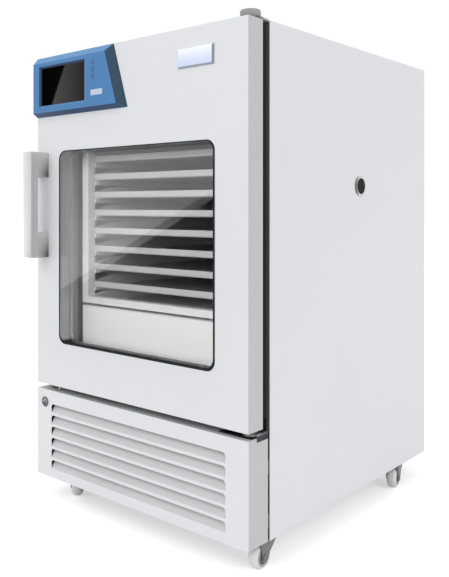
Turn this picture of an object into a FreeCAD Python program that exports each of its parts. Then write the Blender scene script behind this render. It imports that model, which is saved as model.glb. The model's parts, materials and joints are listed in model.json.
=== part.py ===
import FreeCAD, Part
import math
import os

from FreeCAD import Vector

# A floor-standing platelet agitator cabinet: an insulated cabinet on casters, a glass door, and a
# rack of trays that a crank rocks from side to side.
#
# Sizes are in millimetres. Places are measured from the cabinet's lower left front corner: X to
# the right, Y to the back from the door's face, Z up from the cabinet's underside. save() moves
# every piece so that the origin lies on the floor, under the middle of the whole object.

# Cabinet
body_width = 650.0
front_step = 2.0
body_depth = 745.0
body_height = 1000.0
floor_gap = 55.0
sheet = 1.5
liner_sheet = 1.2
side_wall = 45.0
ceiling_wall = 60.0
floor_wall = 50.0
back_wall = 50.0
back_recess = 2.5
over = 1.0
seat_gap = 0.3
turn_gap = 0.06

# Door and the panel below it
lower_panel_height = 205.5
lower_panel_depth = 61.0
panel_door_gap = 13.5
door_depth = 45.0
seal_gap = 20.0
door_top_gap = 1.0
door_to_chamber_floor = 46.0
edge_bar = 22.0
window_left_margin = 82.0
window_right_margin = 84.0
window_bottom_margin = 103.0
window_top_margin = 227.0
window_radius = 22.0
pane_lap = 7.0
pane = 4.0
pane_space = 28.5
window_frame_wall = 12.0
seal_left = 2.0
seal_top = 2.0
seal_right = 5.0
seal_bottom = 6.0
gasket_width = 14.0
gasket_inset = 21.0
gasket_base = 4.0
gasket_lip = 1.5

# Handle
handle_reach = 50.0
handle_left = 8.0
handle_width = 35.0
handle_drop = 85.0
handle_height = 249.0
handle_foot = 59.0
handle_grip = 20.0
handle_round = 3.2
handle_inner_radius = 5.0

# Badge plate
badge_width = 96.0
badge_height = 41.0
badge_proud = 4.0
badge_bevel = 3.5
badge_right_margin = 85.0
badge_drop = 41.0

# Control panel
control_proud = 13.0
control_width = 320.0
control_height = 143.0
control_bottom_bevel = 9.0
control_top_bevel = 16.0
control_side_bevel = 21.2
control_slant_share = 0.3125
control_face_wall = 4.5
control_wall = 6.0
screen_left = 23.0
screen_width = 171.0
screen_drop = 25.0
screen_height = 96.0
screen_slope_left = 4.0
screen_slope_right = 8.0
screen_slope_top = 4.0
screen_slope_bottom = 4.0
screen_glass = 2.0
screen_lap = 3.0
screen_module = 4.0
mark_width = 4.0
mark_height = 11.0
mark_proud = 0.5
mark_left = 214.4
mark_drop = 30.8
mark_pitch = 6.1
mark_row_pitch = 15.7
reader_left = 213.0
reader_width = 39.0
reader_height = 13.0
reader_drop = 97.0
reader_proud = 0.8

# Hinges
hinge_inset = 20.0
hinge_back = 30.0
hinge_plate = 3.5
hinge_plate_run = 45.0
hinge_plate_left = 25.0
hinge_plate_half = 12.0
hinge_cap_radius = 20.0
hinge_cap_height = 12.0
hinge_cap_round = 3.0
hinge_pin_radius = 4.0
hinge_pin_reach = 18.0
bush_radius = 7.0
bush_length = 20.0
hinge_collar_radius = 8.0
hinge_arm_radius = 15.0
bottom_plate = 5.0
bottom_plate_rise = 2.0
hinge_flange_drop = 40.0
hinge_flange_width = 48.0
hinge_upstand = 20.0
hinge_upstand_width = 8.0
hinge_flange = 3.0
hinge_side = 3.0
hinge_side_front = 26.0
hinge_side_drop = 8.0
hinge_seat_length = 80.0
hinge_seat_front = 13.0

# Louvres
louvre_count = 6
louvre_left = 53.0
louvre_right_margin = 57.0
louvre_bottom = 22.2
louvre_height = 19.8
louvre_pitch = 26.4
louvre_radius = 8.0
louvre_depth = 13.0
louvre_blade = 1.0
louvre_lap = 3.0

# Lock in the lower panel, and its keeper under the door
lock_left = 30.0
lock_drop = 29.5
lock_flange_radius = 12.0
lock_flange = 1.5
lock_radius = 9.5
lock_core_radius = 8.0
lock_length = 17.0
cam_behind = 26.0
cam_thickness = 3.0
cam_reach = 52.0
cam_width = 10.0
cam_room = 2.5
key_slot_width = 1.0
keeper_left_reach = 16.0
keeper_width = 44.0
keeper_wall = 2.5
keeper_front = 16.0
keeper_depth = 24.0
keeper_hang = 6.0
keeper_wall_up = 10.5

# Breaker frame on the front of the cabinet
breaker_sheet = 3.0
throat_depth = 25.0

# Base and casters
base_plate = 2.0
channel_width = 24.0
channel_height = 24.0
socket_radius = 9.5
socket_depth = 19.0
caster_left_inset = 60.0
caster_right_inset = 21.0
caster_front_setback = 15.0
caster_rear_setback = 123.0
wheel_radius = 25.0
wheel_width = 24.0
wheel_round = 9.0
wheel_rim_radius = 15.0
wheel_hub_radius = 12.0
wheel_hub_recess = 2.0
caster_trail = 22.0
fork_sheet = 2.5
fork_clearance = 1.0
fork_back = 13.0
fork_front = 34.0
fork_end_radius = 9.0
axle_radius = 4.0
axle_head = 1.2
axle_head_radius = 6.5
stem_radius = 5.0
stem_length = 18.0
race_radius = 12.0
race_height = 1.3

# Chamber fittings
duct_depth = 80.0
duct_hole_radius = 74.0
duct_fan_drop = 120.0
duct_guard_lap = 4.0
duct_guard_ring_shares = (0.3, 0.6, 0.9)
duct_slot_width = 8.0
duct_slot_height = 120.0
duct_slot_pitch = 24.0
duct_slot_rise = 40.0
duct_slot_count = 16
fan_hub_radius = 22.0
fan_blade_radius = 68.0
fan_blade = 1.6
fan_width = 20.0
fan_blade_count = 6
fan_tilt_degrees = 35.0
fan_motor_radius = 30.0
fan_motor_length = 22.0
fan_shaft_radius = 4.0
fan_stand_off = 4.0
evaporator_depth = 50.0
evaporator_length_share = 0.68
evaporator_height_share = 0.222
evaporator_rise_share = 0.296
evaporator_bends = 3
pipe_radius = 4.0
pipe_bend = 16.0
line_bend = 12.0

# Cable port in the right side
port_behind = 410.0
port_rise_share = 0.6281
port_sleeve_radius = 20.0
port_bore_radius = 18.0
port_flange_radius = 25.0
port_face_radius = 19.5
port_flange = 3.0
port_plug_length = 34.0
port_plug_set_in = 1.0

# Agitator base
rack_side_gap = 30.0
rack_front_gap = 15.0
rack_rear_gap = 112.5
base_box_height = 139.0
rack_slit = 6.0
foot_height = 6.0
foot_radius = 12.0
foot_inset = 40.0
base_floor = 3.0
rail_radius = 5.0
rail_inset = 70.0
rail_drop = 20.0
rail_block = 15.0
rail_block_width = 24.0
bearing_length = 30.0
bearing_width = 22.0
bearing_height = 24.0
bearing_inset = 90.0
bearing_neck_length = 24.0
bearing_neck_width = 12.0
stroke = 38.0
slot_clearance = 4.0
crank_share = 0.284
crank_radius = 30.0
crank_thickness = 6.0
crank_drop = 28.0
crank_pin_radius = 4.0
rod_thickness = 7.0
rod_width = 12.0
rod_eye_radius = 9.0
drive_pin_radius = 5.0
gearbox_length = 80.0
gearbox_width = 60.0
gearbox_height = 38.0
motor_can_radius = 28.0
motor_shaft_radius = 5.0
motor_shaft_reach = 20.0

# Rack and trays
post = 21.0
pan_height = 16.0
pan_side_height = 12.0
pan_side_slope = 62.0
rack_height_share = 0.7168
rack_top_share = 0.328
tray_count = 8
first_tray_share = 0.913
tray_side_gap = 16.0
tray_front_gap = 3.0
tray_back_gap = 26.0
tray_lip_share = 0.351
tray_side_share = 0.656
tray_slope = 62.0
tray_sheet = 1.2
tray_corner_radius = 8.0
tray_edge_radius = 4.0
runner_reach = 10.0
runner_drop_share = 0.234

# Machine compartment
condenser_left = 60.0
condenser_length = 340.0
condenser_height = 170.0
condenser_depth = 40.0
condenser_setback = 35.0
shroud_depth = 12.0
condenser_fan_room = 8.0
compressor_radius = 70.0
compressor_height = 140.0
compressor_left = 230.0
compressor_back = 265.0
compressor_plate = 3.0
grommet_height = 12.0
grommet_radius = 10.0
board_left = 430.0
board_width = 170.0
board_depth = 220.0
board_back = 445.0
board_thickness = 2.0
board_post_height = 12.0
board_post_radius = 4.0
relay_size = 28.0
relay_height = 22.0
relay_pitch = 40.0
relay_count = 3
inlet_left = 80.0
inlet_width = 50.0
inlet_height = 30.0
inlet_rise = 50.0
inlet_body = 22.0
inlet_wall = 4.0
inlet_blade = 2.0
inlet_blade_height = 6.0
inlet_blade_pitch = 11.0
vent_left = 200.0
vent_count = 14
vent_width = 3.6
vent_height = 110.0
vent_pitch = 20.0
vent_rise = 50.0
screw_radius = 4.0
screw_head = 1.8
screw_inset = 14.0
screw_row_count = 4

# Planes and places that follow from these sizes
cabinet_front = door_depth + seal_gap
door_bottom = lower_panel_height + panel_door_gap
door_top = body_height - door_top_gap
shell_back = body_depth - back_recess
foam_back = shell_back - sheet
chamber_left = side_wall
chamber_right = body_width - side_wall
front_right = body_width - front_step
chamber_back = shell_back - back_wall
chamber_floor = door_bottom + door_to_chamber_floor
chamber_top = body_height - ceiling_wall
machine_top = chamber_floor - floor_wall
window_left = window_left_margin
window_right = body_width - window_right_margin
window_bottom = door_bottom + window_bottom_margin
window_top = body_height - window_top_margin
handle_bottom = door_top - control_height - handle_drop - handle_height
hinge_x = body_width - hinge_inset
hinge_y = hinge_back
lock_z = lower_panel_height - lock_drop
duct_front = chamber_back - duct_depth
chamber_height = chamber_top - chamber_floor
fan_x = (chamber_left + chamber_right) / 2
fan_z = chamber_top - duct_fan_drop
evaporator_length = (chamber_right - chamber_left) * evaporator_length_share
evaporator_height = chamber_height * evaporator_height_share
evaporator_z = chamber_floor + chamber_height * evaporator_rise_share
port_height = chamber_floor + chamber_height * port_rise_share
rack_left = chamber_left + rack_side_gap
rack_right = chamber_right - rack_side_gap
rack_front = cabinet_front + rack_front_gap
rack_back = chamber_back - rack_rear_gap
rack_middle_x = (rack_left + rack_right) / 2
rack_middle_y = (rack_front + rack_back) / 2
box_top = chamber_floor + base_box_height
pan_bottom = box_top + rack_slit
pan_top = pan_bottom + pan_height
rail_z = box_top - rail_drop
tray_left = rack_left + post + tray_side_gap
tray_right = rack_right - post - tray_side_gap
tray_front = rack_front + tray_front_gap
tray_back = rack_back - tray_back_gap
rack_top = pan_bottom + (chamber_top - pan_bottom) * rack_height_share
tray_pitch = (rack_top - pan_bottom) / (
    first_tray_share + tray_count - 1 + tray_side_share + rack_top_share)
tray_side = tray_pitch * tray_side_share
tray_lip = tray_pitch * tray_lip_share
runner_drop = tray_pitch * runner_drop_share
crank_x = rack_left + (rack_right - rack_left) * crank_share
crank_top = box_top - crank_drop + crank_thickness
rod_top = crank_top + seat_gap + rod_thickness
caster_xs = {"left": caster_left_inset, "right": body_width - caster_right_inset}
caster_ys = {"front": cabinet_front + caster_front_setback, "rear": body_depth - caster_rear_setback}
# The way each caster trails, in degrees from +X
caster_turns = {"front_left": -50.0, "front_right": -90.0, "rear_left": -80.0, "rear_right": -76.0}

to_origin = Vector(
    -(body_width + port_flange) / 2,
    handle_reach - (body_depth + handle_reach) / 2,
    floor_gap,
)


def save(name, solids):
    """Write one sub-part, moved into the object's own frame."""
    shape = solids[0] if len(solids) == 1 else Part.makeCompound(solids)
    moved = shape.copy()
    moved.translate(to_origin)
    moved.exportStep(os.path.join("parts", name + ".step"))


def block(x0, x1, y0, y1, z0, z1):
    return Part.makeBox(x1 - x0, y1 - y0, z1 - z0, Vector(x0, y0, z0))


def rod_x(x0, x1, y, z, radius):
    return Part.makeCylinder(radius, x1 - x0, Vector(x0, y, z), Vector(1, 0, 0))


def rod_y(y0, y1, x, z, radius):
    return Part.makeCylinder(radius, y1 - y0, Vector(x, y0, z), Vector(0, 1, 0))


def rod_z(z0, z1, x, y, radius):
    return Part.makeCylinder(radius, z1 - z0, Vector(x, y, z0), Vector(0, 0, 1))


def prism(points, along):
    """A flat outline pushed along a vector."""
    return Part.Face(Part.makePolygon(points + points[:1])).extrude(along)


def rounded_block(x0, x1, y0, y1, z0, z1, radius):
    """A block whose four edges along Y are rounded."""
    whole = block(x0, x1, y0, y1, z0, z1)
    edges = [e for e in whole.Edges if abs(e.tangentAt(e.FirstParameter).y) > 0.9]
    return whole.makeFillet(radius, edges)


def slot_x(x, y, z0, z1, length, width):
    """A round-ended slot along X, cut from z0 to z1."""
    half = (length - width) / 2
    middle = block(x - half, x + half, y - width / 2, y + width / 2, z0, z1)
    return middle.multiFuse([rod_z(z0, z1, x - half, y, width / 2), rod_z(z0, z1, x + half, y, width / 2)])


def pipe(points, radius, bend):
    """A round pipe through the points, with a tangent arc of one radius at each turn."""
    edges = []
    start = points[0]
    for before, corner, after in zip(points, points[1:], points[2:]):
        into = (corner - before).normalize()
        out = (after - corner).normalize()
        setback = bend * math.tan(into.getAngle(out) / 2)
        first = corner - into * setback
        last = corner + out * setback
        chord = (out - into).normalize()
        middle = corner + chord * (math.hypot(bend, setback) - bend)
        edges += [Part.makeLine(start, first), Part.Arc(first, middle, last).toShape()]
        start = last
    edges.append(Part.makeLine(start, points[-1]))
    ring = Part.Wire(Part.makeCircle(radius, points[0], points[1] - points[0]))
    return Part.Wire(edges).makePipeShell([ring], True, False)


def outer_shell():
    port_hole = rod_x(chamber_right, body_width + over, port_behind, port_height, port_sleeve_radius)
    left = block(0, sheet, cabinet_front, body_depth, 0, body_height)
    right = block(body_width - sheet, body_width, cabinet_front, body_depth, 0, body_height).cut(port_hole)
    top = block(sheet, body_width - sheet, cabinet_front, shell_back, body_height - sheet, body_height)
    top = top.cut(hinge_tongue(cabinet_front))
    back = block(sheet, body_width - sheet, foam_back, shell_back, base_plate, body_height - sheet)
    cuts = [
        block(vent_left + i * vent_pitch, vent_left + i * vent_pitch + vent_width,
              foam_back - over, shell_back + over, vent_rise, vent_rise + vent_height)
        for i in range(vent_count)
    ]
    cuts.append(block(inlet_left, inlet_left + inlet_width, foam_back - over, shell_back + over,
                      inlet_rise, inlet_rise + inlet_height))
    save("outer_shell", [left, right, top, back.cut(Part.makeCompound(cuts))])


def base_frame():
    """Floor plate, two channels over the casters, and the sockets of their stems."""
    plate = block(sheet, body_width - sheet, cabinet_front, shell_back, 0, base_plate)
    solids = []
    sockets = []
    for y in caster_ys.values():
        y0 = y - channel_width / 2
        y1 = y + channel_width / 2
        outer = block(sheet, body_width - sheet, y0, y1, base_plate, channel_height)
        inner = block(sheet, body_width - sheet, y0 + base_plate, y1 - base_plate,
                      base_plate, channel_height - base_plate)
        solids.append(outer.cut(inner))
        for x in caster_xs.values():
            plate = plate.cut(rod_z(-over, base_plate + over, x, y, socket_radius + turn_gap))
            whole = rod_z(0, channel_height - base_plate, x, y, socket_radius)
            sockets.append(whole.cut(rod_z(0, socket_depth, x, y, stem_radius + turn_gap)))
    save("base_frame", [plate, *solids, *sockets])


def riser_place():
    """Where the suction pipe goes up through the chamber floor."""
    return fan_x + evaporator_length / 2 + pipe_bend * 2, chamber_back - duct_depth / 2


def insulation():
    front = cabinet_front + breaker_sheet
    inner_left = chamber_left - liner_sheet
    inner_right = chamber_right + liner_sheet
    under_top = body_height - sheet
    port_hole = rod_x(inner_right - over, body_width, port_behind, port_height, port_sleeve_radius)
    left = block(sheet, inner_left, front, foam_back, machine_top, under_top)
    right = block(inner_right, body_width - sheet, front, foam_back, machine_top, under_top).cut(port_hole)
    ceiling = block(inner_left, inner_right, front, foam_back, chamber_top + liner_sheet, under_top)
    riser = rod_z(machine_top - over, chamber_floor, *riser_place(), pipe_radius + turn_gap)
    floor = block(inner_left, inner_right, front, foam_back, machine_top, chamber_floor - liner_sheet)
    back = block(inner_left, inner_right, chamber_back + liner_sheet, foam_back,
                 chamber_floor - liner_sheet, chamber_top + liner_sheet)
    save("insulation", [left, right, ceiling, floor.cut(riser), back])


def inner_liner():
    """The chamber's five walls, and the sheet that carries the foam over the machines."""
    front = cabinet_front + throat_depth
    left = block(chamber_left - liner_sheet, chamber_left, front, chamber_back, chamber_floor, chamber_top)
    right = block(chamber_right, chamber_right + liner_sheet, front, chamber_back, chamber_floor, chamber_top)
    port_hole = rod_x(chamber_right - over, body_width, port_behind, port_height, port_sleeve_radius)
    ends = (chamber_left - liner_sheet, chamber_right + liner_sheet, front, chamber_back)
    riser = rod_z(machine_top - floor_wall, chamber_floor + over, *riser_place(), pipe_radius + turn_gap)
    floor = block(*ends, chamber_floor - liner_sheet, chamber_floor).cut(riser)
    carrier = block(sheet, body_width - sheet, cabinet_front + breaker_sheet, foam_back,
                    machine_top - sheet, machine_top)
    ceiling = block(*ends, chamber_top, chamber_top + liner_sheet)
    back = block(chamber_left - liner_sheet, chamber_right + liner_sheet, chamber_back,
                 chamber_back + liner_sheet, chamber_floor - liner_sheet, chamber_top + liner_sheet)
    save("inner_liner", [left, right.cut(port_hole), floor, ceiling, back, carrier.cut(riser)])


def breaker_frame():
    """Dark flat bars on the cabinet's front and a grey throat that lines the door opening."""
    y0 = cabinet_front
    y1 = cabinet_front + breaker_sheet
    y2 = cabinet_front + throat_depth
    bars = [
        block(sheet, chamber_left, y0, y1, base_plate, body_height - sheet),
        block(chamber_right, body_width - sheet, y0, y1, base_plate, body_height - sheet),
        block(chamber_left, chamber_right, y0, y1, chamber_top, body_height - sheet),
        block(chamber_left, chamber_right, y0, y1, machine_top - sheet, chamber_floor),
    ]
    throat = [
        block(chamber_left - liner_sheet, chamber_left, y1, y2, chamber_floor, chamber_top),
        block(chamber_right, chamber_right + liner_sheet, y1, y2, chamber_floor, chamber_top),
        block(chamber_left - liner_sheet, chamber_right + liner_sheet, y1, y2,
              chamber_top, chamber_top + liner_sheet),
        block(chamber_left - liner_sheet, chamber_right + liner_sheet, y1, y2,
              chamber_floor - liner_sheet, chamber_floor),
    ]
    save("breaker_frame", bars + throat)


def louvre_opening(z):
    """One slot of the lower panel: round upper corners, sharp lower ones."""
    x0 = louvre_left
    x1 = body_width - louvre_right_margin
    whole = block(x0, x1, -over, sheet + over, z, z + louvre_height)
    upper = [
        e for e in whole.Edges
        if abs(e.tangentAt(e.FirstParameter).y) > 0.9 and e.CenterOfMass.z > z + louvre_height / 2
    ]
    return whole.makeFillet(louvre_radius, upper)


def louvre_zs():
    return [louvre_bottom + i * louvre_pitch for i in range(louvre_count)]


def lower_panel():
    face = block(0, front_right, 0, sheet, 0, lower_panel_height)
    cuts = [louvre_opening(z) for z in louvre_zs()]
    cuts.append(rod_y(-over, sheet + over, lock_left, lock_z, lock_radius + turn_gap))
    save("lower_panel_face", [face.cut(Part.makeCompound(cuts))])

    ledge = block(sheet, front_right - sheet, sheet, lower_panel_depth,
                  lower_panel_height - sheet, lower_panel_height)
    cam_slot = block(lock_left - cam_width / 2 - cam_room,
                     lock_left + cam_sweep(lower_panel_height - sheet) + cam_room,
                     cam_behind - cam_room, cam_behind + cam_thickness + cam_room,
                     lower_panel_height - sheet - over, lower_panel_height + over)
    right_cheek = block(front_right - sheet, front_right, sheet, lower_panel_depth, 0, lower_panel_height)
    frame = [
        block(0, sheet, sheet, lower_panel_depth, 0, lower_panel_height),
        right_cheek.cut(hinge_side_bar()),
        ledge.cut(cam_slot).cut(hinge_side_bar()),
        block(sheet, front_right - sheet, sheet, lower_panel_depth / 2, 0, sheet),
    ]
    tab = side_wall / 2
    tab_height = lower_panel_height / 8
    for x0, x1 in ((sheet, tab), (front_right - tab, front_right - sheet)):
        for z0 in (tab_height, lower_panel_height - tab_height * 3):
            frame.append(block(x0, x1, lower_panel_depth - tab / 2, cabinet_front, z0, z0 + tab_height))
    save("lower_panel_frame", frame)


def louvre_blades():
    """Meshed blades that lean back behind the slots, from each slot's lower edge."""
    x0 = louvre_left
    width = body_width - louvre_right_margin - louvre_left
    solids = []
    for z in louvre_zs():
        low = z - louvre_blade
        high = z + louvre_height + louvre_lap
        outline = [
            Vector(x0, sheet, low),
            Vector(x0, sheet + louvre_blade * 2, low),
            Vector(x0, sheet + louvre_depth + louvre_blade, high),
            Vector(x0, sheet + louvre_depth, high),
            Vector(x0, sheet, z),
        ]
        solids.append(prism(outline, Vector(width, 0, 0)))
    save("louvre_blades", solids)


def lock():
    flange = rod_y(-lock_flange, 0, lock_left, lock_z, lock_flange_radius)
    barrel = rod_y(0, lock_length, lock_left, lock_z, lock_radius)
    bore = rod_y(-lock_flange - over, lock_length + over, lock_left, lock_z, lock_core_radius + turn_gap)
    save("lock_barrel", [flange.fuse(barrel).cut(bore)])

    core = rod_y(-lock_flange, cam_behind, lock_left, lock_z, lock_core_radius)
    key_slot = block(lock_left - lock_core_radius / 2, lock_left + lock_core_radius / 2,
                     -lock_flange - over, lock_core_radius,
                     lock_z - key_slot_width / 2, lock_z + key_slot_width / 2)
    cam_end = lock_left + cam_reach - cam_width / 2
    cam = block(lock_left, cam_end, cam_behind, cam_behind + cam_thickness,
                lock_z - cam_width / 2, lock_z + cam_width / 2)
    rounds = [rod_y(cam_behind, cam_behind + cam_thickness, x, lock_z, cam_width / 2)
              for x in (lock_left, cam_end)]
    save("lock_cylinder", [core.cut(key_slot).multiFuse([cam] + rounds)])

    x0 = lock_left - keeper_left_reach
    whole = block(x0, x0 + keeper_width, keeper_front, keeper_front + keeper_depth,
                  door_bottom - keeper_hang, door_bottom)
    room_left = lock_left - cam_width / 2 - cam_room
    room_front = cam_behind - cam_room
    room_back = cam_behind + cam_thickness + cam_room
    mouth = block(room_left, x0 + keeper_width + over, room_front, room_back,
                  door_bottom - keeper_hang - over, door_bottom)
    pocket = block(room_left, lock_left + cam_sweep(door_bottom) + cam_room, room_front, room_back,
                   door_bottom - over, door_bottom + keeper_wall_up)
    save("lock_keeper", [whole.fuse(keeper_insert(0)).cut(mouth).cut(pocket)])


def cam_sweep(z):
    """How far to the right of the lock's axis the turning cam reaches at one height."""
    return math.sqrt(max(cam_reach ** 2 - (z - lock_z) ** 2, cam_width ** 2 / 4))


def keeper_insert(gap):
    """The part of the keeper that goes up into the door's edge bar."""
    wall = cam_room + keeper_wall + gap
    return block(
        lock_left - cam_width / 2 - wall, lock_left + cam_sweep(door_bottom) + wall,
        cam_behind - wall, cam_behind + cam_thickness + wall,
        door_bottom, door_bottom + keeper_wall_up + keeper_wall + gap,
    )


def window_cut(grow, y0, y1):
    """The window's outline, larger all round by grow, from y0 to y1."""
    return rounded_block(window_left - grow, window_right + grow, y0, y1,
                         window_bottom - grow, window_top + grow, window_radius + grow)


def door_sheets():
    face = block(0, front_right, 0, sheet, door_bottom, door_top)
    save("door_face_panel", [face.cut(window_cut(0, -over, sheet + over))])

    inside = block(edge_bar, front_right - edge_bar, door_depth - sheet, door_depth,
                   door_bottom + edge_bar, door_top - edge_bar)
    save("door_inner_panel", [inside.cut(window_cut(0, door_depth - sheet - over, door_depth + over))])


def door_edge_frame():
    """Grey bars all round the door, with the two hinge bushes in their ends."""
    bottom = block(0, front_right, sheet, door_depth, door_bottom, door_bottom + edge_bar)
    top = block(0, front_right, sheet, door_depth, door_top - edge_bar, door_top)
    left = block(0, edge_bar, sheet, door_depth, door_bottom + edge_bar, door_top - edge_bar)
    right = block(front_right - edge_bar, front_right, sheet, door_depth,
                  door_bottom + edge_bar, door_top - edge_bar)
    bottom = bottom.cut(keeper_insert(turn_gap))
    bushes = []
    for z0, z1 in ((door_bottom, door_bottom + bush_length), (door_top - bush_length, door_top)):
        seat = rod_z(z0, z1, hinge_x, hinge_y, bush_radius + turn_gap)
        bottom = bottom.cut(seat)
        top = top.cut(seat)
        bush = rod_z(z0, z1, hinge_x, hinge_y, bush_radius)
        bushes.append(bush.cut(rod_z(z0, z1, hinge_x, hinge_y, hinge_pin_radius + turn_gap)))
    save("door_edge_frame", [bottom, top, left, right] + bushes)


def door_core():
    """Foam between the door's two sheets, in four blocks round the window frame."""
    y1 = door_depth - sheet
    x0 = edge_bar
    x1 = front_right - edge_bar
    z0 = door_bottom + edge_bar
    z1 = door_top - edge_bar
    wx0 = window_left - window_frame_wall
    wx1 = window_right + window_frame_wall
    wz0 = window_bottom - window_frame_wall
    wz1 = window_top + window_frame_wall
    save("door_core", [
        block(x0, x1, sheet, y1, z0, wz0),
        block(x0, x1, sheet, y1, wz1, z1),
        block(x0, wx0, sheet, y1, wz0, wz1),
        block(wx1, x1, sheet, y1, wz0, wz1),
    ])


def window():
    outline = (window_left, window_right, window_bottom, window_top)
    hole = rounded_block(outline[0] + seal_left, outline[1] - seal_right, -over, sheet + over,
                         outline[2] + seal_bottom, outline[3] - seal_top, window_radius - seal_left)
    save("window_seal", [window_cut(-turn_gap, 0, sheet).cut(hole)])

    frame_back = door_depth - sheet
    frame = block(window_left - window_frame_wall, window_right + window_frame_wall, sheet, frame_back,
                  window_bottom - window_frame_wall, window_top + window_frame_wall)
    groove_back = sheet + pane * 2 + pane_space
    frame = frame.cut(window_cut(pane_lap, sheet - over, groove_back))
    frame = frame.cut(window_cut(0, groove_back - over, frame_back + over))
    space_front = sheet + pane
    space_back = space_front + pane_space
    spacer = window_cut(pane_lap - turn_gap, space_front, space_back)
    spacer = spacer.cut(window_cut(over, space_front - over, space_back + over))
    save("window_frame", [frame, spacer])

    front = window_cut(pane_lap - turn_gap, sheet, space_front)
    rear = window_cut(pane_lap - turn_gap, space_back, groove_back)
    save("glass_panes", [front, rear])


def door_gasket():
    """A hollow-looking seal ring in four lengths, clear of the cabinet by a hair."""
    y0 = door_depth
    y1 = cabinet_front - seat_gap
    x0 = gasket_inset
    x1 = front_right - gasket_inset
    z0 = door_bottom + gasket_inset
    z1 = body_height - gasket_inset
    w = gasket_width
    lip = gasket_lip

    def strip(corner, across, along):
        base_end = corner + Vector(0, gasket_base, 0)
        outline = [
            corner, corner + across * w, corner + across * w + Vector(0, gasket_base, 0),
            corner + across * (w - lip) + Vector(0, y1 - y0 - lip, 0),
            corner + across * (w - lip * 2) + Vector(0, y1 - y0, 0),
            corner + across * (lip * 2) + Vector(0, y1 - y0, 0),
            corner + across * lip + Vector(0, y1 - y0 - lip, 0), base_end,
        ]
        return prism(outline, along)

    right = Vector(1, 0, 0)
    up = Vector(0, 0, 1)
    save("door_gasket", [
        strip(Vector(x0, y0, z0), right, up * (z1 - z0)),
        strip(Vector(x1 - w, y0, z0), right, up * (z1 - z0)),
        strip(Vector(x0 + w, y0, z0), up, right * (x1 - x0 - w * 2)),
        strip(Vector(x0 + w, y0, z1 - w), up, right * (x1 - x0 - w * 2)),
    ])


def door_handle():
    """A C-shaped pull: its side outline crossed with its plan outline."""
    z0 = handle_bottom
    z1 = handle_bottom + handle_height
    x0 = handle_left
    x1 = handle_left + handle_width
    side = block(x0, x1, -handle_reach, 0, z0, z1)
    gap = block(x0 - over, x1 + over, handle_grip - handle_reach, over, z0 + handle_foot, z1 - handle_foot)
    inner_edges = [
        e for e in gap.Edges
        if abs(e.tangentAt(e.FirstParameter).x) > 0.9 and e.CenterOfMass.y < 0
    ]
    side = side.cut(gap.makeFillet(handle_inner_radius, inner_edges))
    bow = Part.Arc(
        Vector(x1, -handle_reach, z0),
        Vector((x0 + x1) / 2, -handle_reach + handle_round / 4, z0),
        Vector(x0, -handle_reach + handle_round, z0),
    ).toShape()
    rest = Part.makePolygon([
        Vector(x0, -handle_reach + handle_round, z0), Vector(x0, 0, z0),
        Vector(x1, 0, z0), Vector(x1, -handle_reach, z0),
    ])
    plan = Part.Face(Part.Wire([bow] + rest.Edges)).extrude(Vector(0, 0, handle_height))
    save("door_handle", [side.common(plan)])


def badge_plate():
    x0 = body_width - badge_right_margin - badge_width
    z1 = body_height - badge_drop
    plate = block(x0, x0 + badge_width, -badge_proud, 0, z1 - badge_height, z1)
    front = [e for e in plate.Edges if e.CenterOfMass.y < -badge_proud + over / 2]
    save("badge_plate", [plate.makeChamfer(badge_bevel, front)])


def control_outline(inset_side, inset_bottom, inset_top, y):
    """The panel's slanted outline at one depth: upright on the left, leaning on the right."""
    z0 = door_top - control_height + inset_bottom
    z1 = door_top - inset_top

    def edge_x(z):
        return control_width - inset_side - (z - door_top + control_height) * control_slant_share

    return Part.makePolygon([
        Vector(0, y, z0), Vector(edge_x(z0), y, z0), Vector(edge_x(z1), y, z1),
        Vector(0, y, z1), Vector(0, y, z0),
    ])


def screen_outline(inset_share, y):
    x0 = screen_left + screen_slope_left * inset_share
    x1 = screen_left + screen_width - screen_slope_right * inset_share
    z1 = door_top - screen_drop - screen_slope_top * inset_share
    z0 = door_top - screen_drop - screen_height + screen_slope_bottom * inset_share
    return Part.makePolygon([
        Vector(x0, y, z0), Vector(x1, y, z0), Vector(x1, y, z1), Vector(x0, y, z1), Vector(x0, y, z0),
    ])


def control_panel():
    front_y = -control_proud
    wall_y = front_y + control_face_wall
    back = control_outline(0, 0, 0, 0)
    front = control_outline(control_side_bevel, control_bottom_bevel, control_top_bevel, front_y)
    body = Part.makeLoft([back, front], True, True)
    funnel = Part.makeLoft([screen_outline(0, front_y), screen_outline(1, wall_y)], True, True)
    pocket = block(control_wall, screen_left + screen_width + screen_lap * 2, wall_y, 0,
                   door_top - screen_drop - screen_height - screen_lap, door_top - screen_drop + screen_lap)
    save("control_housing", [body.cut(funnel).cut(pocket)])

    x0 = screen_left + screen_slope_left - screen_lap
    x1 = screen_left + screen_width - screen_slope_right + screen_lap
    z0 = door_top - screen_drop - screen_height + screen_slope_bottom - screen_lap
    z1 = door_top - screen_drop - screen_slope_top + screen_lap
    glass = block(x0, x1, wall_y, wall_y + screen_glass, z0, z1)
    module = block(x0 + screen_lap, x1 - screen_lap, wall_y + screen_glass, 0,
                   z0 + screen_lap, z1 - screen_lap)
    save("control_screen", [glass, module])

    marks = []
    for row in range(3):
        top = door_top - mark_drop - row * mark_row_pitch
        for column in range(2):
            x = mark_left + column * mark_pitch
            marks.append(block(x, x + mark_width, front_y - mark_proud, front_y, top - mark_height, top))
    reader = block(reader_left, reader_left + reader_width, front_y - reader_proud, front_y,
                   door_top - reader_drop - reader_height, door_top - reader_drop)
    front_edges = [e for e in reader.Edges if e.CenterOfMass.y < front_y - reader_proud / 2]
    save("control_indicators", marks + [reader.makeChamfer(reader_proud / 2, front_edges)])


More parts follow.
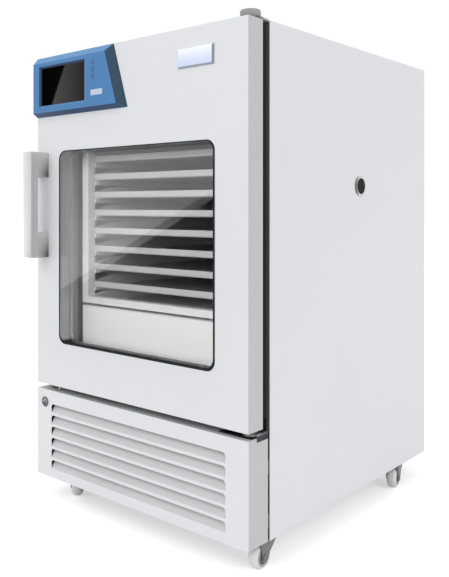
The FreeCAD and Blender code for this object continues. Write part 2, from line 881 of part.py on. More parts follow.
def hinge_tongue(y0):
    """The upper hinge plate's end, let in flush with the cabinet's top."""
    return block(hinge_x - hinge_cap_radius, hinge_x + hinge_cap_radius - sheet * 2,
                 y0, cabinet_front + hinge_plate_run, body_height - sheet, body_height)


def hinge_side_bar():
    """The lower bracket's side, let into the top edge of the lower panel's right cheek."""
    return block(front_right - hinge_side, front_right, hinge_side_front, lower_panel_depth,
                 lower_panel_height - hinge_side_drop, lower_panel_height + bottom_plate_rise + bottom_plate)


def hinges():
    """Upper plate and pin on the cabinet's top, lower bracket with its seat, collar and pin."""
    half = hinge_cap_radius
    plate_top = body_height + hinge_plate
    plate = rod_z(body_height, plate_top, hinge_x, hinge_y, half)
    corner = block(hinge_x - hinge_plate_left, hinge_x, hinge_y - hinge_plate_half,
                   hinge_y + hinge_plate_half, body_height, plate_top)
    arm = block(hinge_x - half, hinge_x + half - sheet * 2, hinge_y, cabinet_front, body_height, plate_top)
    pin_low = door_top - hinge_pin_reach
    pin = rod_z(pin_low, body_height, hinge_x, hinge_y, hinge_pin_radius)
    upper = plate.multiFuse([corner, arm, hinge_tongue(cabinet_front - hinge_plate), pin])

    z0 = lower_panel_height + bottom_plate_rise
    z1 = z0 + bottom_plate
    arm_round = rod_z(z0, z1, hinge_x, hinge_y, hinge_arm_radius)
    arm = block(hinge_x - hinge_arm_radius, front_right - hinge_side, hinge_y, cabinet_front, z0, z1)
    collar = rod_z(z1, door_bottom - seat_gap, hinge_x, hinge_y, hinge_collar_radius)
    low_pin = rod_z(z1, door_bottom + hinge_pin_reach, hinge_x, hinge_y, hinge_pin_radius)
    flange_right = front_right - sheet * 2
    flange_front = cabinet_front - hinge_flange
    flange = block(flange_right - hinge_flange_width, flange_right, flange_front, cabinet_front,
                   z0 - hinge_flange_drop, z1)
    upstand = block(flange_right - hinge_upstand_width, flange_right, flange_front, cabinet_front,
                    z1, z1 + hinge_upstand)
    lower = arm_round.multiFuse([arm, collar, low_pin, flange, upstand])
    side = hinge_side_bar()
    seat_right = front_right - hinge_side
    seat = block(seat_right - hinge_seat_length, seat_right, hinge_seat_front, lower_panel_depth,
                 lower_panel_height, z0)
    save("hinge_brackets", [upper, lower, side, seat])

    cap_low = body_height + hinge_plate
    cap = rod_z(cap_low, cap_low + hinge_cap_height, hinge_x, hinge_y, half)
    rim = [e for e in cap.Edges if e.BoundBox.ZMin > cap_low + hinge_cap_height / 2]
    save("hinge_cap", [cap.makeFillet(hinge_cap_round, rim)])


def cable_port():
    y = port_behind
    z = port_height
    tube = rod_x(chamber_right, body_width, y, z, port_sleeve_radius - turn_gap)
    flange = Part.makeCone(port_flange_radius, port_face_radius, port_flange,
                           Vector(body_width, y, z), Vector(1, 0, 0))
    bore = rod_x(chamber_right - over, body_width + port_flange + over, y, z, port_bore_radius)
    save("port_sleeve", [tube.fuse(flange).cut(bore)])
    end = body_width + port_flange - port_plug_set_in
    save("port_plug", [rod_x(end - port_plug_length, end, y, z, port_bore_radius - turn_gap)])


def fan_wheel(bore_length):
    """A hub with tilted blades, spinning about Z, its lower face at zero."""
    hub = rod_z(0, fan_width, 0, 0, fan_hub_radius)
    blade = block(0, fan_blade_radius, -fan_blade / 2, fan_blade / 2, -fan_width, fan_width)
    blade.rotate(Vector(0, 0, 0), Vector(1, 0, 0), 90 - fan_tilt_degrees)
    slab = rod_z(0, fan_width, 0, 0, fan_blade_radius)
    blades = []
    for i in range(fan_blade_count):
        one = blade.copy()
        one.translate(Vector(0, 0, fan_width / 2))
        one.rotate(Vector(0, 0, 0), Vector(0, 0, 1), 360 * i / fan_blade_count)
        blades.append(one.common(slab))
    bore = rod_z(-over, bore_length, 0, 0, fan_shaft_radius + turn_gap)
    return hub.multiFuse(blades).cut(bore)


def fan_motor(shaft_length):
    """A flat can with its shaft up along Z, its back face at zero."""
    can = rod_z(0, fan_motor_length, 0, 0, fan_motor_radius)
    return can.fuse(rod_z(fan_motor_length, fan_motor_length + shaft_length, 0, 0, fan_shaft_radius))


def turned(shape, axis, degrees, place):
    moved = shape.copy()
    moved.rotate(Vector(0, 0, 0), axis, degrees)
    moved.translate(place)
    return moved


def air_duct():
    """Cover of the air space behind the rack, with a fan hole above and a row of slots below."""
    y0 = duct_front
    y1 = duct_front + liner_sheet
    cover = block(chamber_left, chamber_right, y0, y1, chamber_floor, chamber_top)
    row_length = (duct_slot_count - 1) * duct_slot_pitch + duct_slot_width
    first = fan_x - row_length / 2
    slot_z = chamber_floor + duct_slot_rise
    cuts = [rod_y(y0 - over, y1 + over, fan_x, fan_z, duct_hole_radius)]
    for i in range(duct_slot_count):
        x0 = first + i * duct_slot_pitch
        cuts.append(block(x0, x0 + duct_slot_width, y0 - over, y1 + over, slot_z, slot_z + duct_slot_height))
    y2 = y1 + liner_sheet
    reach = duct_hole_radius + duct_guard_lap
    bars = [
        block(fan_x - reach, fan_x + reach, y1, y2, fan_z - liner_sheet, fan_z + liner_sheet),
        block(fan_x - liner_sheet, fan_x + liner_sheet, y1, y2, fan_z - reach, fan_z + reach),
    ]
    rings = []
    for share in duct_guard_ring_shares:
        middle = duct_hole_radius * share
        whole = rod_y(y1, y2, fan_x, fan_z, middle + liner_sheet)
        rings.append(whole.cut(rod_y(y1, y2, fan_x, fan_z, middle - liner_sheet)))
    save("duct_cover", [cover.cut(Part.makeCompound(cuts)), rings[0].multiFuse(rings[1:] + bars)])

    to_front = Vector(1, 0, 0)
    place = Vector(fan_x, chamber_back, fan_z)
    save("circulation_fan_motor", [turned(fan_motor(fan_width), to_front, 90, place)])
    wheel_place = Vector(fan_x, chamber_back - fan_motor_length - fan_stand_off / 2, fan_z)
    save("circulation_fan", [turned(fan_wheel(fan_width - fan_stand_off / 4), to_front, 90, wheel_place)])


def evaporator():
    """Finned block on the chamber's back wall, with the pipe that rises to it from below."""
    x0 = fan_x - evaporator_length / 2
    x1 = fan_x + evaporator_length / 2
    z0 = evaporator_z
    y1 = chamber_back
    y0 = y1 - evaporator_depth
    core = block(x0, x1, y0, y1, z0, z0 + evaporator_height)
    middle = (y0 + y1) / 2
    bend_x = x0 - pipe_bend * 1.5
    step = evaporator_height / evaporator_bends
    bends = []
    for i in range(evaporator_bends):
        low = z0 + step * (i + 1 / 4)
        high = z0 + step * (i + 3 / 4)
        bends.append(pipe([
            Vector(x0, middle, low), Vector(bend_x, middle, low),
            Vector(bend_x, middle, high), Vector(x0, middle, high),
        ], pipe_radius, step / 4 - pipe_radius / 4))
    rx, ry = riser_place()
    low = machine_top - floor_wall / 2
    riser = pipe([Vector(rx, ry, low), Vector(rx, ry, z0 + step / 2), Vector(x1, ry, z0 + step / 2)],
                 pipe_radius, pipe_bend)
    save("evaporator_coil", [core, *bends, riser])


def agitator_base():
    """The box under the rack: cover, floor on rubber feet, guide rails on blocks, gear motor."""
    x0 = rack_left
    x1 = rack_right
    y0 = rack_front
    y1 = rack_back
    low = chamber_floor + foot_height
    cover_low = low
    top = block(x0, x1, y0, y1, box_top - sheet, box_top)
    cuts = []
    for x, y in bearing_places():
        half_x = (bearing_neck_length + stroke) / 2 + slot_clearance
        half_y = bearing_neck_width / 2 + slot_clearance
        cuts.append(block(x - half_x, x + half_x, y - half_y, y + half_y,
                          box_top - sheet - over, box_top + over))
    pin_slot = (drive_pin_radius + slot_clearance) * 2
    cuts.append(slot_x(rack_middle_x, rack_middle_y, box_top - sheet - over, box_top + over,
                       stroke + pin_slot, pin_slot))
    cover = [
        top.cut(Part.makeCompound(cuts)),
        block(x0, x1, y0, y0 + sheet, cover_low, box_top - sheet),
        block(x0, x1, y1 - sheet, y1, cover_low, box_top - sheet),
        block(x0, x0 + sheet, y0 + sheet, y1 - sheet, cover_low, box_top - sheet),
        block(x1 - sheet, x1, y0 + sheet, y1 - sheet, cover_low, box_top - sheet),
    ]
    save("agitator_cover", cover)

    floor = block(x0 + sheet, x1 - sheet, y0 + sheet, y1 - sheet, low, low + base_floor)
    solids = [floor]
    for x in (x0 + foot_inset, x1 - foot_inset):
        for y in (y0 + foot_inset, y1 - foot_inset):
            solids.append(rod_z(chamber_floor, low, x, y, foot_radius))
    for y in rail_ys():
        ends = (x0 + sheet, x0 + sheet + rail_block, x1 - sheet - rail_block, x1 - sheet)
        solids.append(rod_x(ends[0], ends[3], y, rail_z, rail_radius))
        for a, b in ((ends[0], ends[1]), (ends[2], ends[3])):
            upright = block(a, b, y - rail_block_width / 2, y + rail_block_width / 2, low + base_floor,
                            rail_z + rail_radius * 2)
            solids.append(upright.cut(rod_x(a, b, y, rail_z, rail_radius)))
    save("agitator_base", solids)

    gearbox_top = crank_top - crank_thickness - motor_shaft_reach
    gearbox = block(crank_x - gearbox_length / 2, crank_x + gearbox_length / 2,
                    rack_middle_y - gearbox_width / 2, rack_middle_y + gearbox_width / 2,
                    gearbox_top - gearbox_height, gearbox_top)
    can = rod_z(low + base_floor, gearbox_top - gearbox_height, crank_x, rack_middle_y, motor_can_radius)
    shaft = rod_z(gearbox_top, crank_top - crank_thickness / 2, crank_x, rack_middle_y, motor_shaft_radius)
    save("agitator_motor", [can, gearbox.fuse(shaft)])


def rail_ys():
    return (rack_front + rail_inset, rack_back - rail_inset)


def bearing_places():
    xs = (rack_left + bearing_inset, rack_right - bearing_inset)
    return [(x, y) for x in xs for y in rail_ys()]


def crank_drive():
    """Crank wheel on the motor shaft, and the rod from its pin to the rack's drive pin.

    At rest the crank pin stands to the back, so the rack is at the middle of its stroke."""
    throw = stroke / 2
    z0 = crank_top - crank_thickness
    wheel = rod_z(z0, crank_top, crank_x, rack_middle_y, crank_radius)
    shaft_hole = rod_z(z0 - over, crank_top - crank_thickness / 2 + seat_gap,
                       crank_x, rack_middle_y, motor_shaft_radius + turn_gap)
    pin_y = rack_middle_y + throw
    pin = rod_z(crank_top, rod_top - seat_gap, crank_x, pin_y, crank_pin_radius)
    save("crank", [wheel.cut(shaft_hole).fuse(pin)])

    a0 = crank_top + seat_gap
    reach = rack_middle_x - crank_x
    length = math.hypot(reach, throw)
    bar = block(0, length, -rod_width / 2, rod_width / 2, a0, rod_top)
    bar = bar.multiFuse([rod_z(a0, rod_top, x, 0, rod_eye_radius) for x in (0, length)])
    bar = bar.cut(rod_z(a0 - over, rod_top + over, 0, 0, crank_pin_radius + turn_gap))
    bar = bar.cut(rod_z(a0 - over, rod_top + over, length, 0, drive_pin_radius + turn_gap))
    swing = -math.degrees(math.atan2(throw, reach))
    save("connecting_rod", [turned(bar, Vector(0, 0, 1), swing, Vector(crank_x, pin_y, 0))])


def rack_frame():
    """Pan, four posts, top bars, tray runners, and the bearings that hang below on the rails."""
    x0 = rack_left
    x1 = rack_right
    y0 = rack_front
    y1 = rack_back
    solids = [
        block(x0, x1, y0, y0 + post, pan_bottom, pan_top),
        block(x0, x1, y1 - post, y1, pan_bottom, pan_top),
        block(x0, x0 + post, y0 + post, y1 - post, pan_bottom, pan_top),
        block(x1 - post, x1, y0 + post, y1 - post, pan_bottom, pan_top),
        block(x0 + post, x1 - post, y0 + post, y1 - post, pan_bottom, pan_bottom + sheet),
    ]
    for x in (x0, x1 - post):
        for y in (y0, y1 - post):
            solids.append(block(x, x + post, y, y + post, pan_top, rack_top))
    bar_top = rack_top + pan_height
    solids += [
        block(x0, x1, y0, y0 + post, rack_top, bar_top),
        block(x0, x1, y1 - post, y1, rack_top, bar_top),
        block(x0, x0 + post, y0 + post, y1 - post, rack_top, bar_top),
        block(x1 - post, x1, y0 + post, y1 - post, rack_top, bar_top),
    ]
    for x in (x0 + post, x1 - post - sheet):
        outline = [
            Vector(x, y0, pan_top), Vector(x, y0 + pan_side_slope, pan_top + pan_side_height),
            Vector(x, y1 - post, pan_top + pan_side_height), Vector(x, y1 - post, pan_top),
        ]
        solids.append(prism(outline, Vector(sheet, 0, 0)))
    for i in range(tray_count):
        solids += runners(tray_bottom(i) - seat_gap)
    for x, y in bearing_places():
        blockage = block(x - bearing_length / 2, x + bearing_length / 2, y - bearing_width / 2,
                         y + bearing_width / 2, rail_z - bearing_height / 2, rail_z + bearing_height / 2)
        neck = block(x - bearing_neck_length / 2, x + bearing_neck_length / 2, y - bearing_neck_width / 2,
                     y + bearing_neck_width / 2, rail_z, pan_bottom)
        bore = rod_x(x - bearing_length, x + bearing_length, y, rail_z, rail_radius + turn_gap)
        solids.append(blockage.fuse(neck).cut(bore))
    solids.append(rod_z(rod_top + seat_gap, pan_bottom, rack_middle_x, rack_middle_y, drive_pin_radius))
    save("rack_frame", solids)


def tray_bottom(i):
    return pan_bottom + (first_tray_share + i) * tray_pitch


def runners(z):
    """The two angles that carry one tray, their upper faces at z."""
    inner = post + tray_side_gap + runner_reach
    y0 = rack_front + post
    y1 = rack_back - post
    found = []
    for side, x in ((1, rack_left + post), (-1, rack_right - post)):
        outline = [
            Vector(x, y0, z), Vector(x + side * (inner - post), y0, z),
            Vector(x + side * (inner - post), y0, z - sheet), Vector(x + side * sheet, y0, z - sheet),
            Vector(x + side * sheet, y0, z - runner_drop), Vector(x, y0, z - runner_drop),
        ]
        found.append(prism(outline, Vector(0, y1 - y0, 0)))
    return found


def tray(i):
    """One tray: a low front lip, sides that climb to full height, a full-height back."""
    def body(inset, corner, z0, z1, slope_lift):
        x0 = tray_left + inset
        y0 = tray_front + inset
        y1 = tray_back - inset
        outline = [
            Vector(x0, y0, z0), Vector(x0, y1, z0), Vector(x0, y1, z1 + slope_lift),
            Vector(x0, y0 + tray_slope - inset, z1 + slope_lift), Vector(x0, y0, z0 + tray_lip + slope_lift),
        ]
        whole = prism(outline, Vector(tray_right - tray_left - inset * 2, 0, 0))
        upright = [e for e in whole.Edges if abs(e.tangentAt(e.FirstParameter).z) > 0.9]
        return whole.makeFillet(corner, upright)

    z0 = tray_bottom(i)
    outer = body(0, tray_corner_radius, z0, z0 + tray_side, 0)
    foot = [e for e in outer.Edges if e.BoundBox.ZMax < z0 + tray_sheet / 10]
    outer = outer.makeFillet(tray_edge_radius, foot)
    inner = body(tray_sheet, tray_corner_radius - tray_sheet, z0, z0 + tray_side, over)
    foot = [e for e in inner.Edges if e.BoundBox.ZMax < z0 + tray_sheet / 10]
    inner = inner.makeFillet(tray_edge_radius - tray_sheet, foot)
    inner.translate(Vector(0, 0, tray_sheet))
    save("tray_%d" % (i + 1), [outer.cut(inner)])


def condenser():
    """Finned block behind the louvres, a shroud with its round mouth, and the fan's motor."""
    x0 = condenser_left
    x1 = condenser_left + condenser_length
    y0 = cabinet_front + condenser_setback
    y1 = y0 + condenser_depth
    z1 = base_plate + condenser_height
    mid_x = (x0 + x1) / 2
    mid_z = (base_plate + z1) / 2
    core = block(x0, x1, y0, y1, base_plate, z1)
    shroud = block(x0, x1, y1, y1 + shroud_depth, base_plate, z1)
    shroud = shroud.cut(rod_y(y1 - over, y1 + shroud_depth + over, mid_x, mid_z, duct_hole_radius))
    fan_back = y1 + condenser_fan_room + fan_width
    motor_front = fan_back + fan_stand_off / 2
    motor_back = motor_front + fan_motor_length
    motor = turned(fan_motor(fan_width), Vector(1, 0, 0), 90, Vector(mid_x, motor_back, mid_z))
    stand = block(mid_x - fan_motor_radius, mid_x + fan_motor_radius, motor_back, motor_back + sheet,
                  base_plate, mid_z + fan_motor_radius)
    save("condenser_unit", [core, shroud, motor, stand])
    wheel = turned(fan_wheel(fan_width - fan_stand_off / 4), Vector(1, 0, 0), 90,
                   Vector(mid_x, fan_back, mid_z))
    save("condenser_fan", [wheel])


def compressor():
    """A domed can on a plate, on four rubber grommets, with its pipe to the condenser."""
    x = compressor_left
    y = body_depth - compressor_back
    plate_z = base_plate + grommet_height
    r = compressor_radius
    can = rod_z(plate_z + compressor_plate, plate_z + compressor_plate + compressor_height, x, y, r)
    rims = [e for e in can.Edges if e.Curve.TypeId == "Part::GeomCircle"]
    can = can.makeFillet(r / 3, rims)
    plate = block(x - r, x + r, y - r, y + r, plate_z, plate_z + compressor_plate)
    feet = [rod_z(base_plate, plate_z, x + dx, y + dy, grommet_radius)
            for dx in (-r + grommet_radius, r - grommet_radius)
            for dy in (-r + grommet_radius, r - grommet_radius)]
    pipe_z = plate_z + compressor_plate + compressor_height
    end_y = cabinet_front + condenser_setback + condenser_depth / 2
    top_z = base_plate + condenser_height
    pipe_x = (condenser_left + compressor_left - r) / 2
    run_z = top_z + line_bend + pipe_radius * 2
    line = pipe([
        Vector(x, y, pipe_z), Vector(x, y, run_z), Vector(pipe_x, y, run_z),
        Vector(pipe_x, end_y, run_z), Vector(pipe_x, end_y, top_z),
    ], pipe_radius, line_bend)
    save("compressor", [can, plate, *feet, line])


def circuit_board():
    x0 = board_left
    y0 = board_back - board_depth / 2
    z0 = base_plate + board_post_height
    board = block(x0, x0 + board_width, y0, y0 + board_depth, z0, z0 + board_thickness)
    posts = [rod_z(base_plate, z0, x, y, board_post_radius)
             for x in (x0 + board_post_radius * 2, x0 + board_width - board_post_radius * 2)
             for y in (y0 + board_post_radius * 2, y0 + board_depth - board_post_radius * 2)]
    relays = [block(x0 + relay_size, x0 + relay_size * 2, y0 + relay_size + i * relay_pitch,
                    y0 + relay_size * 2 + i * relay_pitch, z0 + board_thickness,
                    z0 + board_thickness + relay_height)
              for i in range(relay_count)]
    save("circuit_board", [board] + posts + relays)


def power_inlet():
    """A three-blade socket in the back, open to the rear."""
    x0 = inlet_left + turn_gap
    x1 = inlet_left + inlet_width - turn_gap
    z0 = inlet_rise + turn_gap
    z1 = inlet_rise + inlet_height - turn_gap
    y0 = shell_back - inlet_body
    wall = inlet_wall
    pieces = [
        block(x0, x1, y0, y0 + wall, z0, z1),
        block(x0, x0 + wall, y0 + wall, shell_back, z0, z1),
        block(x1 - wall, x1, y0 + wall, shell_back, z0, z1),
        block(x0 + wall, x1 - wall, y0 + wall, shell_back, z0, z0 + wall),
        block(x0 + wall, x1 - wall, y0 + wall, shell_back, z1 - wall, z1),
    ]
    middle = (x0 + x1) / 2
    mid_z = (z0 + z1) / 2
    for i, lift in ((-1, -inlet_blade_height / 2), (0, inlet_blade_height / 2), (1, -inlet_blade_height / 2)):
        x = middle + i * inlet_blade_pitch
        pieces.append(block(x - inlet_blade / 2, x + inlet_blade / 2, y0 + wall, shell_back - wall,
                            mid_z + lift - inlet_blade_height / 2, mid_z + lift + inlet_blade_height / 2))
    save("power_inlet", pieces)


def screws():
    """Round-headed screws of the back sheet."""
    found = []
    z_step = (body_height - sheet - base_plate - screw_inset * 2) / (screw_row_count - 1)
    for x in (sheet + screw_inset, body_width - sheet - screw_inset):
        for i in range(screw_row_count):
            found.append(rod_y(shell_back, shell_back + screw_head, x, base_plate + screw_inset + i * z_step,
                               screw_radius))
    save("screws", found)


def caster(row, side):
    """A swivel caster: fork with race, stem and axle, and the wheel. It is built trailing to +X."""
    x = caster_xs[side]
    y = caster_ys[row]
    name = row + "_" + side
    turn = caster_turns[name]
    axle_z = wheel_radius - floor_gap
    race_top = -seat_gap
    crown_top = race_top - race_height
    crown_low = crown_top - fork_sheet
    inner = wheel_width / 2 + fork_clearance
    outer = inner + fork_sheet
    crown = block(-fork_back, fork_front, -outer, outer, crown_low, crown_top)
    race = rod_z(crown_top, race_top, 0, 0, race_radius)
    stem = rod_z(race_top, race_top + stem_length, 0, 0, stem_radius)
    cheeks = []
    for v in (-outer, inner):
        slope = prism([
            Vector(-fork_back, v, crown_low), Vector(fork_front, v, crown_low),
            Vector(caster_trail + fork_end_radius, v, axle_z),
            Vector(caster_trail - fork_end_radius, v, axle_z),
        ], Vector(0, fork_sheet, 0))
        end = rod_y(v, v + fork_sheet, caster_trail, axle_z, fork_end_radius)
        cheeks.append(slope.fuse(end))
    bore = rod_y(-outer - over, outer + over, caster_trail, axle_z, axle_radius + turn_gap)
    fork = crown.multiFuse([race, stem] + cheeks).cut(bore)
    axle = rod_y(-outer, outer, caster_trail, axle_z, axle_radius)
    heads = [rod_y(v, v + axle_head, caster_trail, axle_z, axle_head_radius)
             for v in (-outer - axle_head, outer)]
    place = Vector(x, y, 0)
    up = Vector(0, 0, 1)
    axle = axle.multiFuse(heads)
    save("caster_fork_" + name, [turned(fork, up, turn, place), turned(axle, up, turn, place)])

    half = wheel_width / 2
    tyre = rod_y(-half, half, caster_trail, axle_z, wheel_radius)
    rims = [e for e in tyre.Edges if e.Curve.TypeId == "Part::GeomCircle"]
    tyre = tyre.makeFillet(wheel_round, rims)
    for a, b in ((-half - over, -half + wheel_hub_recess), (half - wheel_hub_recess, half + over)):
        ring = rod_y(a, b, caster_trail, axle_z, wheel_rim_radius)
        tyre = tyre.cut(ring.cut(rod_y(a, b, caster_trail, axle_z, wheel_hub_radius)))
    wheel = tyre.cut(rod_y(-half - over, half + over, caster_trail, axle_z, axle_radius + turn_gap))
    save("caster_wheel_" + name, [turned(wheel, up, turn, place)])


def main():
    os.makedirs("parts", exist_ok=True)
    outer_shell()
    base_frame()
    insulation()
    inner_liner()
    breaker_frame()
    lower_panel()
    louvre_blades()
    lock()
    door_sheets()
    door_edge_frame()
    door_core()
    window()
    door_gasket()
    door_handle()
    badge_plate()
    control_panel()
    hinges()
    cable_port()
    air_duct()
    evaporator()
    agitator_base()
    crank_drive()
    rack_frame()
    for i in range(tray_count):
        tray(i)
    condenser()
    compressor()
    circuit_board()
    power_inlet()
    screws()
    for row in caster_ys:
        for side in caster_xs:
            caster(row, side)


main()
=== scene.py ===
import json
import math

import bpy
from mathutils import Euler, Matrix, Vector


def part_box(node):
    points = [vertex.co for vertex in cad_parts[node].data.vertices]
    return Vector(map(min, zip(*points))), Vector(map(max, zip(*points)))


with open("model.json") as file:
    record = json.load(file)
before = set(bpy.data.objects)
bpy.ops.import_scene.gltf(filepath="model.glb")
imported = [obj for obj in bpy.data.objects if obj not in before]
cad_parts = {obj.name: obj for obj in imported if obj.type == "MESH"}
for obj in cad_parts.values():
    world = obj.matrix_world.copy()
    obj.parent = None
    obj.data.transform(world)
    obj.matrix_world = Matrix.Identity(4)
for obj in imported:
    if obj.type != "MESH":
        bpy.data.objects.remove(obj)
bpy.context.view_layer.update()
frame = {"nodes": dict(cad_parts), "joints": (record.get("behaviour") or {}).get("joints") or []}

# Camera
# Stands to the right of the door, at the height of the handle, and looks level. The
# picture is shifted down so that the upright edges of the cabinet stay upright.
camera_data = bpy.data.cameras.new("camera")
camera_data.lens = 45.93
camera_data.sensor_width = 36.0
camera_data.shift_y = -0.142
camera_data.dof.use_dof = False
camera = bpy.data.objects.new("camera", camera_data)
camera.location = (1.16659, -1.42070, 0.69750)
camera.rotation_euler = Euler((math.pi / 2, 0, math.radians(40.063)))
bpy.context.scene.collection.objects.link(camera)
bpy.context.scene.camera = camera
bpy.context.scene.view_settings.view_transform = "Standard"

# Studio
# A plain white room: a matt floor that keeps the cabinet's shadow, white air round it, soft
# lamps in front and to the right, and one that lights only what the chamber holds.
scene = bpy.context.scene
floor_reach = 30.0


def link_nodes(tree, pairs):
    """Joins node sockets, given as (node, output name, node, input name)."""
    for source, output, target, entry in pairs:
        tree.links.new(source.outputs[output], target.inputs[entry])


def seen_directly(tree):
    """One where a surface is seen, mirrored or looked at through glass, nought for plain light."""
    path = tree.nodes.new("ShaderNodeLightPath")
    first = tree.nodes.new("ShaderNodeMath")
    first.operation = "MAXIMUM"
    last = tree.nodes.new("ShaderNodeMath")
    last.operation = "MAXIMUM"
    link_nodes(tree, [
        (path, "Is Camera Ray", first, 0), (path, "Is Glossy Ray", first, 1),
        (first, 0, last, 0), (path, "Is Transmission Ray", last, 1),
    ])
    return last


world = bpy.data.worlds.new("white_room")
world.use_nodes = True
air = world.node_tree
air.nodes.clear()
room_light = air.nodes.new("ShaderNodeBackground")
room_light.inputs["Color"].default_value = (0.97, 0.985, 1.0, 1.0)
room_light.inputs["Strength"].default_value = 0.66
room_seen = air.nodes.new("ShaderNodeBackground")
room_seen.inputs["Color"].default_value = (1.0, 1.0, 1.0, 1.0)
room_seen.inputs["Strength"].default_value = 1.0
room_mix = air.nodes.new("ShaderNodeMixShader")
room_out = air.nodes.new("ShaderNodeOutputWorld")
link_nodes(air, [
    (seen_directly(air), 0, room_mix, 0), (room_light, 0, room_mix, 1),
    (room_seen, 0, room_mix, 2), (room_mix, 0, room_out, "Surface"),
])
scene.world = world

floor_mesh = bpy.data.meshes.new("studio_floor")
floor_mesh.from_pydata([
    (-floor_reach, -floor_reach, 0), (floor_reach, -floor_reach, 0),
    (floor_reach, floor_reach, 0), (-floor_reach, floor_reach, 0),
], [], [(0, 1, 2, 3)])
studio_floor = bpy.data.objects.new("studio_floor", floor_mesh)
scene.collection.objects.link(studio_floor)
floor_paint = bpy.data.materials.new("studio_floor_white")
floor_paint.use_nodes = True
ground = floor_paint.node_tree
ground.nodes.clear()
ground_matt = ground.nodes.new("ShaderNodeBsdfDiffuse")
ground_matt.inputs["Color"].default_value = (0.86, 0.86, 0.86, 1.0)
ground_glow = ground.nodes.new("ShaderNodeEmission")
ground_glow.inputs["Color"].default_value = (1.0, 1.0, 1.0, 1.0)
ground_share = ground.nodes.new("ShaderNodeMath")
ground_share.operation = "MULTIPLY"
ground_share.inputs[1].default_value = 0.45
ground_sum = ground.nodes.new("ShaderNodeAddShader")
ground_out = ground.nodes.new("ShaderNodeOutputMaterial")
link_nodes(ground, [
    (seen_directly(ground), 0, ground_share, 0), (ground_share, 0, ground_glow, "Strength"),
    (ground_matt, 0, ground_sum, 0), (ground_glow, 0, ground_sum, 1),
    (ground_sum, 0, ground_out, "Surface"),
])
floor_mesh.materials.append(floor_paint)


def soft_sun(name, toward, strength, spread, lit=None):
    """A soft lamp that shines along the given direction, on everything or on a few pieces only."""
    data = bpy.data.lights.new(name, "SUN")
    data.energy = strength
    data.angle = math.radians(spread)
    lamp = bpy.data.objects.new(name, data)
    lamp.rotation_euler = Vector(toward).to_track_quat("-Z", "Y").to_euler()
    scene.collection.objects.link(lamp)
    if lit:
        group = bpy.data.collections.new(name + "_pieces")
        for node in lit:
            group.objects.link(frame["nodes"][node])
        lamp.light_linking.receiver_collection = group


tray_count = 8
trays = ["tray_%d" % (place + 1) for place in range(tray_count)]
in_the_chamber = [
    "agitator_cover", "rack_frame", "inner_liner", "breaker_frame", "window_frame", "duct_cover",
    *trays,
]
soft_sun("front_lamp", toward=(0.25, 0.75, -0.60), strength=0.95, spread=50)
soft_sun("side_lamp", toward=(-0.85, 0.15, -0.50), strength=0.80, spread=50)
soft_sun("chamber_lamp", toward=(-0.42, 0.90, -0.22), strength=2.35, spread=30, lit=in_the_chamber)

# Mirrored cards
# Dark upright cards in front of the door, off to its left, where the window's glass and the
# touch screen mirror them. Nothing else sees them, and they throw no shadow.

def mirrored_card(name, distance, corners, dark=0.0, pale=0.0):
    """An upright card that only mirrors and glass see, shaded from dark to pale along its width."""
    mesh = bpy.data.meshes.new(name)
    mesh.from_pydata([(x, distance, z) for x, z in corners], [], [tuple(range(len(corners)))])
    card = bpy.data.objects.new(name, mesh)
    scene.collection.objects.link(card)
    card.visible_camera = False
    card.visible_diffuse = False
    card.visible_shadow = False
    paper = bpy.data.materials.new(name)
    paper.use_nodes = True
    tree = paper.node_tree
    tree.nodes.clear()
    place = tree.nodes.new("ShaderNodeTexCoord")
    split = tree.nodes.new("ShaderNodeSeparateXYZ")
    shade = tree.nodes.new("ShaderNodeMapRange")
    shade.inputs["From Min"].default_value = min(x for x, z in corners)
    shade.inputs["From Max"].default_value = max(x for x, z in corners)
    shade.inputs["To Min"].default_value = dark
    shade.inputs["To Max"].default_value = pale
    glow = tree.nodes.new("ShaderNodeEmission")
    out = tree.nodes.new("ShaderNodeOutputMaterial")
    link_nodes(tree, [
        (place, "Object", split, 0), (split, "X", shade, "Value"), (shade, 0, glow, "Strength"),
        (glow, 0, out, "Surface"),
    ])
    mesh.materials.append(paper)


# The window's card ends above in a slant, and the white room shows in the glass above it.
window_card_y = -0.846
window_card_left = -0.9665
window_card_right = -0.1365
window_card_foot = 0.175
window_card_left_top = 0.3782
window_card_right_top = 0.7780
mirrored_card("window_card", window_card_y, [
    (window_card_left, window_card_foot), (window_card_right, window_card_foot),
    (window_card_right, window_card_right_top), (window_card_left, window_card_left_top),
])

# The screen mirrors a dark card and a shaded one, which meet along a leaning edge.
screen_card_y = -0.856
shade_card_y = -0.857
screen_card_left = -1.0465
shade_card_right = -0.70
screen_card_foot = 1.015
screen_card_top = 1.235
leaning_edge_foot = -0.9477
leaning_edge_top = -0.8254
mirrored_card("screen_card", screen_card_y, [
    (screen_card_left, screen_card_foot), (leaning_edge_foot, screen_card_foot),
    (leaning_edge_top, screen_card_top), (screen_card_left, screen_card_top),
])
mirrored_card("screen_shade_card", shade_card_y, [
    (leaning_edge_foot, screen_card_foot), (shade_card_right, screen_card_foot),
    (shade_card_right, screen_card_top), (leaning_edge_top, screen_card_top),
], dark=0.9, pale=0.1)

# Base frame
# Folded steel: the floor plate, two channels across it and the four caster sockets. It is
# zinc primed, spot welded, and shows only from below and behind the lower panel.


